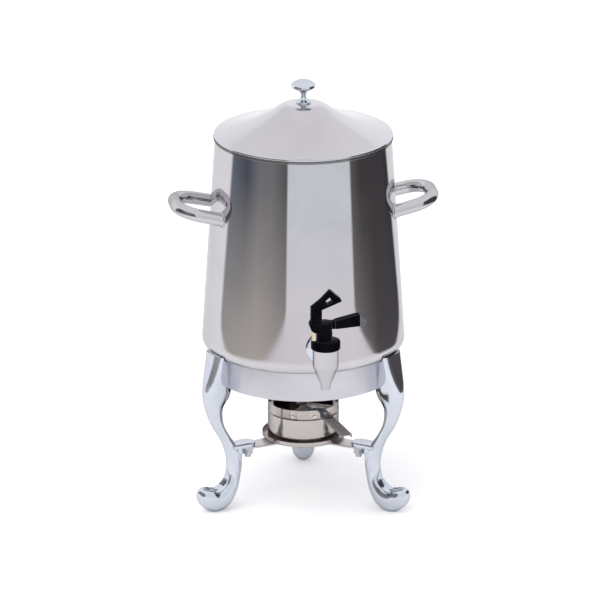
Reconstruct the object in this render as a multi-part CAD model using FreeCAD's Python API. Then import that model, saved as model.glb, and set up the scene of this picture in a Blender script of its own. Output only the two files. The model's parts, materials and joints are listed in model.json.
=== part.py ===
import FreeCAD, Part
import os
from math import atan, cos, pi, radians, sin, sqrt, tan

# Coffee urn on a three-legged stand, with a spirit burner. Millimetres, +Z up.
# The origin is on the table under the vessel's axis. The tap points along -Y, the handles along +X and -X.

V = FreeCAD.Vector
UP = V(0, 0, 1)
CENTRE = V(0, 0, 0)

# Vessel
SEAT_Z = 201.0            # underside of the vessel, where it sits on the stand
SHELL_TOP_Z = 473.0
CORNER_R = 12.0           # rounding between wall and underside
CORNER_CENTRE_R = 115.9
WALL_TAPER = 0.065        # the wall leans inwards by this much per millimetre of height
SHELL_WALL = 1.0
UNDERSIDE_INNER_R = 104.0
PAN_R = 98.5
PAN_DROP = 11.0
PAN_FLANGE_R = 112.0
RIM_R = 112.6
RIM_INNER_R = 109.0
RIM_H = 3.2

# Lid
LID_EDGE_R = 112.0
LID_EDGE_H = 3.0
LID_WALL = 1.0
SKIRT_R = 107.6
SKIRT_H = 12.0
HUB_Z = 518.6
KNOB_TOP_Z = 548.6
KNOB_HEAD_R = 15.3

# Side handles
HANDLE_TUBE_R = 8.2
HANDLE_TUBE_WALL = 1.5
HANDLE_WALL_Z = 383.0
HANDLE_HALF_SPAN = 39.4   # half the distance between the two ends of one handle
HANDLE_END_X = 109.0
HANDLE_TIP_X = 162.0
HANDLE_TIP_HALF_SPAN = 35.4
HANDLE_RISE = 11.9
HANDLE_BEND_R = 30.0

# Tap
TAP_Z = 238.0
TAP_Y = -176.0            # vertical axis of the valve
SHANK_R = 8.0
SHANK_BORE_R = 4.5
SHANK_END_Y = -108.0
WASHER_R = 17.3
BARREL_R = 16.0
BARREL_TOP_Z = 254.6
BARREL_FOOT_Z = 231.0
SPOUT_TIP_Z = 201.5
SPOUT_TIP_R = 5.7
SPOUT_BORE_R = 4.0
CHAMBER_R = 10.5
VALVE_SEAT_Z = 236.0
NECK_R = 13.5
NECK_TOP_Z = 262.0
BONNET_R = 18.3
BONNET_TOP_Z = 266.0
COLUMN_R = 10.0
COLUMN_X = -1.6
COLUMN_TOP_Z = 289.6
PIVOT_X = -11.5
PIVOT_Z = 286.0
BOSS_R = 8.8
BOSS_HALF_W = 7.0
LEVER_HUB_R = 7.2
LEVER_HALF_W = 4.4
PADDLE_HALF_W = 6.2
LEVER_GAP = 0.35
LEVER_SWING = 14.0
GRIP_HALF_W = 5.0
STEM_R = 2.5
PIN_R = 1.5
PIVOT_PIN_R = 2.0
SHAFT_PLAY = 0.06
CUP_R = 7.5
SPRING_R = 6.0
SPRING_WIRE_R = 0.45
SPRING_TURNS = 5

# Stand
STAND_TURN = -9.0         # the stand's front is turned by this many degrees from the tap
RING_R = 114.0
RING_WALL = 1.6
RING_FOOT_Z = 163.0
RING_SEAT_INNER_R = 100.0
LEG_TOP_Z = 209.0
LEG_GAP = 0.9            # between the legs' tops and the vessel above them
LEG_AZIMUTHS = {"leg_left": -60.0, "leg_right": 60.0, "leg_rear": 180.0}
SCREW_HEIGHTS = [174.0, 189.0]
SCREW_R = 3.0
DISH_AT_R = 129.6        # hollow in the top of each foot
DISH_Z = 42.0
DISH_R = 20.4
DISH_NARROWING = 0.72
LUG_TOP_Z = 84.0
ARM_TOP_Z = 79.0
ARM_T = 2.5
LUG_TIP_R = 72.0
LUG_HALF_W = 11.0
STUD_AT_R = 81.0
STUD_R = 4.0
NUT_FLATS = 13.0
NUT_H = 6.8

# Burner
TRAY_R = 52.0
TRAY_WALL = 1.2
TRAY_LIP_H = 6.0
POT_R = 45.0
POT_WALL = 0.9
POT_SHOULDER_Z = 112.6
POT_NECK_Z = 119.0
COLLAR_TOP_Z = 126.0
TOP_PLATE_Z = 119.8
PLATE_T = 1.0
WINDOW_HALF_ANGLE = 42.0
WINDOW_OUTER_R = 38.0
HUB_R = 8.0
STRAP_HALF_W = 5.6
STRAP_T = 1.2
STRAP_AZIMUTH = 27.0
GRIP_TIP_R = 122.0
GRIP_LIP = 3.0            # depth of the handle's folded edges

os.makedirs("parts", exist_ok=True)


def keep(shape, name):
    shape.exportStep("parts/" + name + ".step")
    print(name, "solids", len(shape.Solids), "valid", shape.isValid(), "mm3", round(shape.Volume, 1))


def cylinder(radius, height, at, along=UP):
    return Part.makeCylinder(radius, height, at, along)


def block(low, high):
    return Part.makeBox(high.x - low.x, high.y - low.y, high.z - low.z, low)


def turned(points):
    """Solid turned about the vertical axis from an outline of radius and height pairs."""
    corners = [V(r, 0, z) for r, z in points]
    face = Part.Face(Part.makePolygon(corners + corners[:1]))
    return face.revolve(CENTRE, UP, 360)


def turned_edges(edges):
    face = Part.Face(Part.Wire(Part.__sortEdges__(edges)))
    return face.revolve(CENTRE, UP, 360)


def smooth_turned(curve, closing):
    """Solid turned from a smooth curve of radius and height pairs, closed by straight lines."""
    spline = Part.BSplineCurve()
    spline.interpolate([V(r, 0, z) for r, z in curve])
    corners = [V(curve[-1][0], 0, curve[-1][1])]
    corners += [V(r, 0, z) for r, z in closing]
    corners.append(V(curve[0][0], 0, curve[0][1]))
    lines = [Part.makeLine(a, b) for a, b in zip(corners, corners[1:])]
    return turned_edges([spline.toShape()] + lines)


def faced(shape, azimuth):
    """Turn a piece made along +X so that it points to an azimuth, counted from the stand's front towards +X."""
    out = shape.copy()
    out.rotate(CENTRE, UP, azimuth + STAND_TURN - 90)
    return out


def plate(points, low, high):
    """Flat piece from an outline in the plane of the tap's lever, between two distances from that plane."""
    corners = [V(x, low, z) for x, z in points]
    face = Part.Face(Part.makePolygon(corners + corners[:1]))
    return face.extrude(V(0, high - low, 0))


def hexagon(flats, height, at, along=UP):
    radius = flats / sqrt(3)
    corners = [V(radius * cos(k * pi / 3), radius * sin(k * pi / 3), 0) for k in range(7)]
    prism = Part.Face(Part.makePolygon(corners)).extrude(V(0, 0, height))
    prism.Placement = FreeCAD.Placement(at, FreeCAD.Rotation(UP, along))
    return prism


def joined(shapes):
    out = shapes[0]
    for other in shapes[1:]:
        out = out.fuse(other)
    return out.removeSplitter()


# Vessel

def vessel_form(inset):
    """The vessel's outer form, or the form of its hollow when inset is the wall's thickness."""
    lean = atan(WALL_TAPER)
    corner_z = SEAT_Z + CORNER_R
    radius = CORNER_R - inset
    start = V(CORNER_CENTRE_R + radius * cos(lean), 0, corner_z + radius * sin(lean))
    middle = V(CORNER_CENTRE_R + radius * cos(-pi / 4), 0, corner_z + radius * sin(-pi / 4))
    foot = V(CORNER_CENTRE_R, 0, corner_z - radius)
    top_z = SHELL_TOP_Z + (5 if inset else 0)
    top = V(start.x - WALL_TAPER * (top_z - start.z), 0, top_z)
    edges = [
        Part.Arc(start, middle, foot).toShape(),
        Part.makeLine(foot, V(0, 0, foot.z)),
        Part.makeLine(V(0, 0, foot.z), V(0, 0, top_z)),
        Part.makeLine(V(0, 0, top_z), top),
        Part.makeLine(top, start),
    ]
    return turned_edges(edges)


def wall_radius(z):
    lean = atan(WALL_TAPER)
    start_r = CORNER_CENTRE_R + CORNER_R * cos(lean)
    start_z = SEAT_Z + CORNER_R + CORNER_R * sin(lean)
    return start_r - WALL_TAPER * (z - start_z)


def along_y(radius, start_y, end_y, z=TAP_Z):
    return cylinder(radius, end_y - start_y, V(0, start_y, z), V(0, 1, 0))


def make_vessel():
    outer = vessel_form(0)
    hollow = vessel_form(SHELL_WALL)
    shell = outer.cut(hollow)
    shell = shell.cut(cylinder(UNDERSIDE_INNER_R, 5, V(0, 0, SEAT_Z - 2)))
    shell = shell.cut(along_y(SHANK_R + 0.5, -140, -100))
    keep(shell, "outer_shell")

    flange_z = SEAT_Z + SHELL_WALL
    floor_z = SEAT_Z - PAN_DROP
    wall = 1.2
    pan = turned([
        (0, floor_z), (PAN_R - 4, floor_z), (PAN_R, floor_z + 4), (PAN_R, flange_z), (PAN_FLANGE_R, flange_z),
        (PAN_FLANGE_R, flange_z + wall), (PAN_R - wall, flange_z + wall), (PAN_R - wall, floor_z + 4 + wall / 2),
        (PAN_R - 4 - wall / 2, floor_z + wall), (0, floor_z + wall),
    ])
    keep(pan, "bottom_pan")

    top = SHELL_TOP_Z + RIM_H
    bead = turned([
        (RIM_INNER_R, SHELL_TOP_Z), (RIM_R - 0.9, SHELL_TOP_Z), (RIM_R, SHELL_TOP_Z + 0.9),
        (RIM_R, top - 0.9), (RIM_R - 0.9, top), (RIM_INNER_R, top),
    ])
    keep(bead, "rim_bead")
    return outer, hollow


# Lid

def make_lid():
    seat = SHELL_TOP_Z + RIM_H
    edge_top = seat + LID_EDGE_H
    bell = [
        (LID_EDGE_R - 1.6, edge_top), (96, edge_top + 3.6), (80, edge_top + 8.6), (64, edge_top + 15.2),
        (50, edge_top + 22.4), (40, edge_top + 28.4), (32, edge_top + 34.2), (24, HUB_Z - 1.3),
        (14, HUB_Z), (0, HUB_Z),
    ]
    inside = [(r, z - LID_WALL) for r, z in bell]
    top_skin = smooth_turned(bell, [(0, seat), (LID_EDGE_R - 1.6, seat)])
    under = smooth_turned(inside, [(0, seat - 2), (LID_EDGE_R - 1.6, seat - 2)])
    edge = turned([
        (LID_EDGE_R - 6, seat), (LID_EDGE_R - 0.8, seat), (LID_EDGE_R, seat + 0.8), (LID_EDGE_R, edge_top - 0.8),
        (LID_EDGE_R - 0.8, edge_top), (LID_EDGE_R - 1.6, edge_top), (LID_EDGE_R - 6, edge_top),
    ])
    clear = cylinder(LID_EDGE_R - 5, 2 * LID_EDGE_H, V(0, 0, seat - LID_EDGE_H))
    pan = top_skin.cut(under).fuse(edge.cut(top_skin)).removeSplitter()
    pan = pan.cut(cylinder(2.6, 8, V(0, 0, HUB_Z - 4)))
    pan = pan.cut(clear.cut(cylinder(SKIRT_R, 50, V(0, 0, seat - 10))))
    keep(pan, "lid_pan")

    skirt_top = seat + LID_EDGE_H
    skirt = turned([
        (SKIRT_R - 0.9, seat - SKIRT_H), (SKIRT_R, seat - SKIRT_H), (SKIRT_R, skirt_top),
        (SKIRT_R - 0.9, skirt_top),
    ]).cut(pan)
    keep(skirt, "lid_skirt")

    knob_foot = [(9.2, HUB_Z + 1.9), (7.6, HUB_Z + 3.1), (4.9, HUB_Z + 4.9), (3.3, HUB_Z + 8.2),
                 (3.2, HUB_Z + 10.6), (4.2, HUB_Z + 13.4), (7.2, HUB_Z + 16.4), (12.4, HUB_Z + 19.2),
                 (KNOB_HEAD_R, HUB_Z + 22.8), (13.6, HUB_Z + 26.2), (8.5, HUB_Z + 29.1), (0, KNOB_TOP_Z)]
    knob = smooth_turned(knob_foot, [(0, HUB_Z), (9.2, HUB_Z)])
    knob = knob.cut(cylinder(2.5, 14, V(0, 0, HUB_Z - 1)))
    keep(knob, "lid_knob")

    under_z = HUB_Z - LID_WALL - 0.2
    washer = cylinder(7, 1, V(0, 0, under_z - 1)).cut(cylinder(2.7, 3, V(0, 0, under_z - 2)))
    keep(washer, "knob_washer")
    screw = cylinder(2.45, 14, V(0, 0, under_z - 1)).fuse(cylinder(4.6, 3, V(0, 0, under_z - 4)))
    keep(screw.removeSplitter(), "knob_screw")


# Side handles

def bent_path(points, radius):
    """Straight runs joined by tangent arcs of one radius."""
    edges = []
    start = points[0]
    for before, corner, after in zip(points, points[1:], points[2:]):
        back = (before - corner).normalize()
        on = (after - corner).normalize()
        half = back.getAngle(on) / 2
        cut = radius / tan(half)
        first = corner + back * cut
        last = corner + on * cut
        centre = corner + (back + on).normalize() * (radius / sin(half))
        middle = centre + (corner - centre).normalize() * radius
        edges.append(Part.makeLine(start, first))
        edges.append(Part.Arc(first, middle, last).toShape())
        start = last
    edges.append(Part.makeLine(start, points[-1]))
    return Part.Wire(edges)


def tube(path, radius):
    start = path.Edges[0].Vertexes[0].Point
    along = path.Edges[0].Vertexes[1].Point - start
    ring = Part.Wire(Part.makeCircle(radius, start, along))
    return path.makePipeShell([ring], True, False)


def make_handles(outer):
    per_x = HANDLE_RISE / (HANDLE_TIP_X - HANDLE_END_X)
    draw_in = (HANDLE_HALF_SPAN - HANDLE_TIP_HALF_SPAN) / (HANDLE_TIP_X - HANDLE_END_X)
    inside = 7.0
    for name, side in (("handle_left", -1), ("handle_right", 1)):
        end_z = HANDLE_WALL_Z - inside * per_x
        end_span = HANDLE_HALF_SPAN + inside * draw_in
        tip_z = HANDLE_WALL_Z + HANDLE_RISE
        points = [
            V(side * (HANDLE_END_X - inside), -end_span, end_z),
            V(side * HANDLE_TIP_X, -HANDLE_TIP_HALF_SPAN, tip_z),
            V(side * HANDLE_TIP_X, HANDLE_TIP_HALF_SPAN, tip_z),
            V(side * (HANDLE_END_X - inside), end_span, end_z),
        ]
        path = bent_path(points, HANDLE_BEND_R)
        loop = tube(path, HANDLE_TUBE_R).cut(tube(path, HANDLE_TUBE_R - HANDLE_TUBE_WALL))
        keep(loop.cut(outer), name)


# Tap

def lowered(shape):
    """Move a tap piece from the vessel's axis to the valve's axis."""
    out = shape.copy()
    out.translate(V(0, TAP_Y, 0))
    return out


def make_tap_fixing(outer, hollow):
    wall_y = -wall_radius(TAP_Z)
    hole = along_y(SHANK_R + 0.05, wall_y - 20, wall_y + 30)
    gasket = along_y(12.5, wall_y - 0.9, wall_y + 3).cut(outer).cut(hole)
    keep(gasket, "outer_gasket")
    front_y = wall_y - 5.4
    washer = along_y(WASHER_R, front_y, wall_y - 0.9)
    washer = washer.fuse(Part.makeCone(WASHER_R - 3.6, WASHER_R, 1.6, V(0, front_y - 1.6, TAP_Z), V(0, 1, 0)))
    rim = along_y(WASHER_R, wall_y - 0.9, wall_y + 3).cut(along_y(12.6, wall_y - 2, wall_y + 4)).cut(outer)
    washer = washer.fuse(rim).removeSplitter().cut(hole)
    keep(washer, "wall_washer")

    inner_y = wall_y + SHELL_WALL
    pad = along_y(12.5, inner_y - 1, inner_y + 3.2).common(hollow).cut(hole)
    keep(pad, "inner_gasket")
    nut = hexagon(24, 7, V(0, inner_y + 3.2, TAP_Z), V(0, 1, 0)).cut(hole)
    keep(nut, "lock_nut")


def make_valve_body():
    spout = turned([
        (0, SPOUT_TIP_Z), (SPOUT_TIP_R, SPOUT_TIP_Z), (SPOUT_TIP_R + 0.6, SPOUT_TIP_Z + 6),
        (BARREL_R - 1.2, BARREL_FOOT_Z - 1.8), (BARREL_R, BARREL_FOOT_Z + 1.2), (BARREL_R, BARREL_TOP_Z),
        (NECK_R, BARREL_TOP_Z), (NECK_R, NECK_TOP_Z), (0, NECK_TOP_Z),
    ])
    chamber = turned([
        (0, VALVE_SEAT_Z), (CHAMBER_R, VALVE_SEAT_Z), (CHAMBER_R, NECK_TOP_Z + 1), (0, NECK_TOP_Z + 1),
    ])
    bore = cylinder(SPOUT_BORE_R, VALVE_SEAT_Z - SPOUT_TIP_Z + 2, V(0, 0, SPOUT_TIP_Z - 1))
    body = lowered(spout).fuse(along_y(SHANK_R, TAP_Y, SHANK_END_Y)).removeSplitter()
    body = body.cut(lowered(chamber)).cut(lowered(bore))
    body = body.cut(along_y(SHANK_BORE_R, TAP_Y, SHANK_END_Y + 1))
    keep(body, "tap_body")


def make_bonnet():
    top = BONNET_TOP_Z
    cap = turned([
        (0, BARREL_TOP_Z), (BONNET_R - 0.6, BARREL_TOP_Z), (BONNET_R, BARREL_TOP_Z + 0.6), (BONNET_R, top - 2.2),
        (BONNET_R - 0.7, top - 0.7), (BONNET_R - 2.2, top), (0, top),
    ])
    cap = cap.cut(cylinder(NECK_R + 0.1, NECK_TOP_Z - BARREL_TOP_Z, V(0, 0, BARREL_TOP_Z)))
    cap = cap.cut(cylinder(STEM_R + SHAFT_PLAY, 12, V(0, 0, NECK_TOP_Z - 2)))
    keep(lowered(cap), "bonnet_cap")


def lever_outline(grow):
    """Side outline of the lever's shank and paddle, grown all round by a gap."""
    return [
        (-11.5, 290.2 + grow), (8.0, 290.2 + grow), (36.6, 297.0 + grow), (43.2 + grow, 297.6 + grow),
        (50.4 + grow, 290.8), (49.2 + grow, 285.2), (46.0, 283.8 - grow), (31.3, 282.8 - grow),
        (9.1, 281.0 - grow), (-4.0, 281.4 - grow), (-11.5, 281.6 - grow),
    ]


def make_yoke():
    column = cylinder(COLUMN_R, COLUMN_TOP_Z - BONNET_TOP_Z, V(COLUMN_X, 0, BONNET_TOP_Z))
    boss_half = BOSS_HALF_W
    boss = cylinder(BOSS_R, 2 * boss_half, V(PIVOT_X, -boss_half, PIVOT_Z), V(0, 1, 0))
    grip = plate([
        (-18.6, PIVOT_Z + 2), (-18.6, 309.2), (-6.4, 318.8), (4.4, 330.2), (6.4, 330.2), (19.0, 318.4), (18.8, 316.4),
        (-5.4, 306.6), (-5.5, PIVOT_Z + 2),
    ], -GRIP_HALF_W, GRIP_HALF_W)
    yoke = joined([column, boss, grip])
    room = LEVER_HALF_W + LEVER_GAP
    hub_room = cylinder(LEVER_HUB_R + LEVER_GAP, 2 * room, V(PIVOT_X, -room, PIVOT_Z), V(0, 1, 0))
    swept = []
    for swing in (0.0, LEVER_SWING / 2, LEVER_SWING + 1.0):
        shank = plate(lever_outline(LEVER_GAP), -room, room)
        shank.rotate(V(PIVOT_X, 0, PIVOT_Z), V(0, -1, 0), swing)
        swept.append(shank)
    side = PADDLE_HALF_W + LEVER_GAP
    window = block(V(-3.4, -room, 276), V(14, room, COLUMN_TOP_Z + 3))
    yoke = yoke.cut(hub_room).cut(swept[0]).cut(swept[1]).cut(swept[2]).cut(window)
    yoke = yoke.cut(cylinder(STEM_R + 0.7, 14, V(0, 0, BONNET_TOP_Z - 1)))
    yoke = yoke.cut(cylinder(PIVOT_PIN_R, 4 * boss_half, V(PIVOT_X, -2 * boss_half, PIVOT_Z), V(0, 1, 0)))
    slot = plate([(-1.0, 318.0), (4.2, 322.5), (5.8, 319.8), (7.3, 316.1), (3.0, 313.2), (0.6, 314.6)], -side, side)
    yoke = yoke.cut(slot)
    keep(lowered(yoke), "tap_yoke")
    pin = cylinder(PIVOT_PIN_R, 2 * boss_half, V(PIVOT_X, -boss_half, PIVOT_Z), V(0, 1, 0))
    keep(lowered(pin), "pivot_pin")
    post = cylinder(2.6, PIVOT_Z - 5 - BONNET_TOP_Z, V(-14.6, 0, BONNET_TOP_Z)).cut(yoke).cut(hub_room)
    keep(lowered(post), "brass_post")


def make_lever():
    outline = lever_outline(0)
    shank = plate(outline, -LEVER_HALF_W, LEVER_HALF_W).common(block(V(-12, -9, 270), V(11.5, 9, 310)))
    hub = cylinder(LEVER_HUB_R, 2 * LEVER_HALF_W, V(PIVOT_X, -LEVER_HALF_W, PIVOT_Z), V(0, 1, 0))
    paddle = plate(outline, -PADDLE_HALF_W, PADDLE_HALF_W)
    cap_start = 42.0
    grip = paddle.common(block(V(11.5, -9, 270), V(cap_start, 9, 310)))
    lever = joined([hub, shank, grip])
    pivot_hole = PIVOT_PIN_R + SHAFT_PLAY
    lever = lever.cut(cylinder(pivot_hole, 30, V(PIVOT_X, -15, PIVOT_Z), V(0, 1, 0)))
    pocket = block(V(-4.4, -STEM_R - 0.4, 270), V(4.4, STEM_R + 0.4, 289.1))
    half = 0.9
    slot_r = PIN_R + 0.35
    slot = joined([
        cylinder(slot_r, 30, V(-half, -15, PIVOT_Z), V(0, 1, 0)),
        cylinder(slot_r, 30, V(half, -15, PIVOT_Z), V(0, 1, 0)),
        block(V(-half, -15, PIVOT_Z - slot_r), V(half, 15, PIVOT_Z + slot_r)),
    ])
    lever = lever.cut(pocket).cut(slot)
    keep(lowered(lever), "tap_lever")
    tip = paddle.common(block(V(cap_start, -9, 270), V(60, 9, 310)))
    keep(lowered(tip), "lever_end_cap")


def make_valve_stem():
    cup_low = VALVE_SEAT_Z + 0.3
    cup_top = cup_low + 9.0
    stem_top = PIVOT_Z + 2.3
    stem = cylinder(STEM_R, stem_top - cup_low - 3, V(0, 0, cup_low + 3))
    stem = stem.cut(cylinder(PIN_R, 10, V(0, -5, PIVOT_Z), V(0, 1, 0)))
    keep(lowered(stem), "valve_stem")
    cup = turned([
        (0, cup_low), (CUP_R - 1.5, cup_low), (CUP_R, cup_low + 1.5), (CUP_R, cup_top - 2), (CUP_R - 2, cup_top),
        (0, cup_top),
    ]).cut(cylinder(STEM_R, 10, V(0, 0, cup_low + 3)))
    keep(lowered(cup), "seat_cup")
    pin = cylinder(PIN_R, 8.4, V(0, -4.2, PIVOT_Z), V(0, 1, 0))
    keep(lowered(pin), "stem_pin")
    make_spring(cup_top + 0.1, NECK_TOP_Z - 0.1)


def make_spring(low, high):
    start = low + SPRING_WIRE_R
    rise = high - low - 2 * SPRING_WIRE_R
    quarters = 4 * SPRING_TURNS

    def on_helix(step):
        angle = step * pi / 2
        return V(SPRING_R * cos(angle), SPRING_R * sin(angle), start + rise * step / quarters)

    edges = [Part.Arc(on_helix(k), on_helix(k + 0.5), on_helix(k + 1)).toShape() for k in range(quarters)]
    path = Part.Wire(edges)
    ahead = on_helix(0.02) - on_helix(0)
    ring = Part.Wire(Part.makeCircle(SPRING_WIRE_R, on_helix(0), ahead))
    spring = path.makePipeShell([ring], True, False)
    print("spring gap between turns", round(rise / SPRING_TURNS - 2 * SPRING_WIRE_R, 2))
    keep(lowered(spring), "tap_spring")


# Stand

def make_ring():
    top = SEAT_Z
    bend = 2.0
    band = turned([
        (RING_R, RING_FOOT_Z), (RING_R, top - bend), (RING_R - 0.7, top - 0.7), (RING_R - bend, top),
        (RING_SEAT_INNER_R, top), (RING_SEAT_INNER_R, top - RING_WALL), (RING_R - RING_WALL, top - RING_WALL),
        (RING_R - RING_WALL, RING_FOOT_Z),
    ])
    for azimuth in LEG_AZIMUTHS.values():
        for z in SCREW_HEIGHTS:
            hole = cylinder(SCREW_R + 0.1, 12, V(RING_R - 8, 0, z), V(1, 0, 0))
            band = band.cut(faced(hole, azimuth))
    keep(band, "ring_band")


def leg_section(radius, z, lean, half_t, outer_w, inner_w, square):
    """Closed smooth section of a leg: centre, lean of the section's plane, half thickness and half widths."""
    out = V(cos(radians(lean)), 0, sin(radians(lean)))
    side = V(0, 1, 0)
    points = []
    for k in range(12):
        angle = 2 * pi * k / 12
        c = cos(angle)
        s = sin(angle)
        n = half_t * (abs(c) ** square) * (1 if c > 0 else -1)
        share = (1 + n / half_t) / 2
        width = outer_w * share + inner_w * (1 - share)
        t = width * (abs(s) ** square) * (1 if s > 0 else -1)
        points.append(V(radius, 0, z) + out * n + side * t)
    curve = Part.BSplineCurve()
    curve.interpolate(Points=points, PeriodicFlag=True)
    return Part.Wire(curve.toShape())


def make_legs():
    # Each section: centre radius, height, lean, half thickness, half width outside, half width inside, squareness
    sections = [
        (120.0, LEG_TOP_Z, 0, 13.0, 24.5, 9.0, 0.72),
        (120.8, 198.0, 0, 14.2, 23.5, 9.0, 0.72),
        (122.6, 183.0, 0, 16.0, 21.0, 9.4, 0.76),
        (124.0, 167.0, 1, 18.6, 17.6, 9.8, 0.82),
        (126.0, 152.0, 2, 18.2, 14.6, 10.0, 0.90),
        (129.6, 136.5, 0, 11.9, 11.4, 10.0, 1.0),
        (125.0, 115.0, -20, 7.9, 8.6, 8.4, 1.0),
        (115.6, 97.0, -29, 6.4, 7.6, 7.6, 1.0),
        (106.6, 80.0, -24, 8.2, 8.6, 8.6, 1.0),
        (101.2, 62.0, -8, 10.0, 9.4, 9.4, 1.0),
        (103.2, 43.0, 18, 9.8, 9.8, 9.8, 1.0),
        (108.4, 29.0, 40, 11.6, 12.0, 12.0, 1.0),
        (117.6, 18.4, 62, 15.2, 14.4, 13.6, 1.0),
        (129.4, 15.2, 90, 16.4, 15.2, 14.0, 1.0),
        (139.6, 20.6, 118, 14.6, 14.0, 13.4, 1.0),
        (146.2, 26.0, 132, 10.4, 10.6, 10.4, 1.0),
        (150.0, 29.6, 138, 4.8, 5.2, 5.2, 1.0),
    ]
    limb = Part.makeLoft([leg_section(*values) for values in sections], True, False)
    print("leg loft valid", limb.isValid(), round(limb.Volume))
    dish = Part.makeSphere(DISH_R, V(DISH_AT_R, 0, DISH_Z))
    stretch = FreeCAD.Matrix()
    stretch.scale(1.0, DISH_NARROWING, 1.0)
    limb = limb.cut(dish.transformGeometry(stretch))
    limb = limb.cut(vessel_form(-LEG_GAP))
    ring_room = cylinder(RING_R, 60, V(0, 0, RING_FOOT_Z))
    limb = limb.cut(ring_room)
    limb = limb.cut(block(V(60, -40, -10), V(180, 40, 0)))
    tongue = block(V(LUG_TIP_R + LUG_HALF_W, -LUG_HALF_W, ARM_TOP_Z), V(108, LUG_HALF_W, LUG_TOP_Z))
    nose = cylinder(LUG_HALF_W, LUG_TOP_Z - ARM_TOP_Z, V(LUG_TIP_R + LUG_HALF_W, 0, ARM_TOP_Z))
    web = plate([
        (91.5, ARM_TOP_Z + 1), (91.5, 72.0), (93.6, 60.0), (101, 52), (106, 60), (108, ARM_TOP_Z + 1),
    ], -6.5, 6.5)
    leg = joined([limb, tongue, nose, web])
    leg = leg.cut(cylinder(STUD_R, LUG_TOP_Z - ARM_TOP_Z - 1.2, V(STUD_AT_R, 0, ARM_TOP_Z)))
    for z in SCREW_HEIGHTS:
        leg = leg.cut(cylinder(SCREW_R + 0.1, 14, V(RING_R - 2, 0, z), V(1, 0, 0)))
    for name, azimuth in LEG_AZIMUTHS.items():
        keep(faced(leg, azimuth), name)


def for_each_leg(shape, name):
    keep(Part.makeCompound([faced(shape, azimuth) for azimuth in LEG_AZIMUTHS.values()]), name)


def make_stand_fixings():
    inner = RING_R - RING_WALL
    screws = []
    washers = []
    for z in SCREW_HEIGHTS:
        shank = cylinder(SCREW_R, 14, V(inner - 1.4, 0, z), V(1, 0, 0))
        head = cylinder(5.4, 3.6, V(inner - 5.0, 0, z), V(1, 0, 0))
        screw = shank.fuse(head).removeSplitter()
        screws.append(screw)
        ring = cylinder(6.6, 1.0, V(inner - 1.4, 0, z), V(1, 0, 0))
        washers.append(ring.cut(cylinder(SCREW_R + 0.1, 4, V(inner - 3, 0, z), V(1, 0, 0))))
    for_each_leg(Part.makeCompound(screws), "leg_screws")
    for_each_leg(Part.makeCompound(washers), "leg_washers")

    under = ARM_TOP_Z - ARM_T
    stud = cylinder(STUD_R, LUG_TOP_Z - 1.2 - under + 12.6, V(STUD_AT_R, 0, under - 12.6))
    for_each_leg(stud, "lug_studs")
    washer = cylinder(8.0, 1.4, V(STUD_AT_R, 0, under - 1.4))
    washer = washer.cut(cylinder(STUD_R + 0.1, 4, V(STUD_AT_R, 0, under - 3)))
    for_each_leg(washer, "lug_washers")
    nut_top = under - 1.4
    nut_foot = V(STUD_AT_R, 0, nut_top - NUT_H)
    chamfer = Part.makeCone(NUT_FLATS / 2, NUT_FLATS / 2 + 5, 5, nut_foot)
    chamfer = chamfer.fuse(cylinder(NUT_FLATS, NUT_H, nut_foot + UP * 1.2))
    nut = hexagon(NUT_FLATS, NUT_H, nut_foot).common(chamfer)
    nut = nut.cut(cylinder(STUD_R + 0.05, 20, V(STUD_AT_R, 0, nut_top - 12)))
    for_each_leg(nut, "lug_nuts")


def make_tray():
    floor = ARM_TOP_Z
    top = floor + TRAY_LIP_H
    dish = turned([
        (0, floor), (TRAY_R - 1.5, floor), (TRAY_R, floor + 1.5), (TRAY_R, top - 0.6), (TRAY_R - 0.6, top),
        (TRAY_R - TRAY_WALL, top - 0.6), (TRAY_R - TRAY_WALL, floor + 2), (TRAY_R - 2.2, floor + TRAY_WALL),
        (0, floor + TRAY_WALL),
    ])
    keep(dish, "burner_tray")
    low = ARM_TOP_Z - ARM_T
    inner_r = 26.0
    outline = [V(inner_r, -13.6, low), V(66, -12.0, low), V(STUD_AT_R, -9.4, low)]
    back = [V(p.x, -p.y, p.z) for p in reversed(outline)]
    end = Part.Arc(outline[-1], V(STUD_AT_R + 9.4, 0, low), back[0]).toShape()
    sides = [Part.makeLine(a, b) for a, b in zip(outline, outline[1:])]
    sides += [Part.makeLine(a, b) for a, b in zip(back, back[1:])]
    sides.append(Part.makeLine(back[-1], outline[0]))
    face = Part.Face(Part.Wire(Part.__sortEdges__(sides + [end])))
    arm = face.extrude(V(0, 0, ARM_T)).cut(cylinder(STUD_R + 0.1, 10, V(STUD_AT_R, 0, low - 3)))
    for leg, azimuth in LEG_AZIMUTHS.items():
        keep(faced(arm, azimuth), leg.replace("leg", "tray_arm"))


# Burner

def sector(inner_r, outer_r, half_angle, low, height, at):
    start = radians(at - half_angle)
    end = radians(at + half_angle)
    middle = radians(at)
    arc_points = [V(outer_r * cos(a), outer_r * sin(a), low) for a in (start, middle, end)]
    back_points = [V(inner_r * cos(a), inner_r * sin(a), low) for a in (end, middle, start)]
    edges = [
        Part.Arc(*arc_points).toShape(), Part.makeLine(arc_points[2], back_points[0]),
        Part.Arc(*back_points).toShape(), Part.makeLine(back_points[2], arc_points[0]),
    ]
    return Part.Face(Part.Wire(edges)).extrude(V(0, 0, height))


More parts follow.
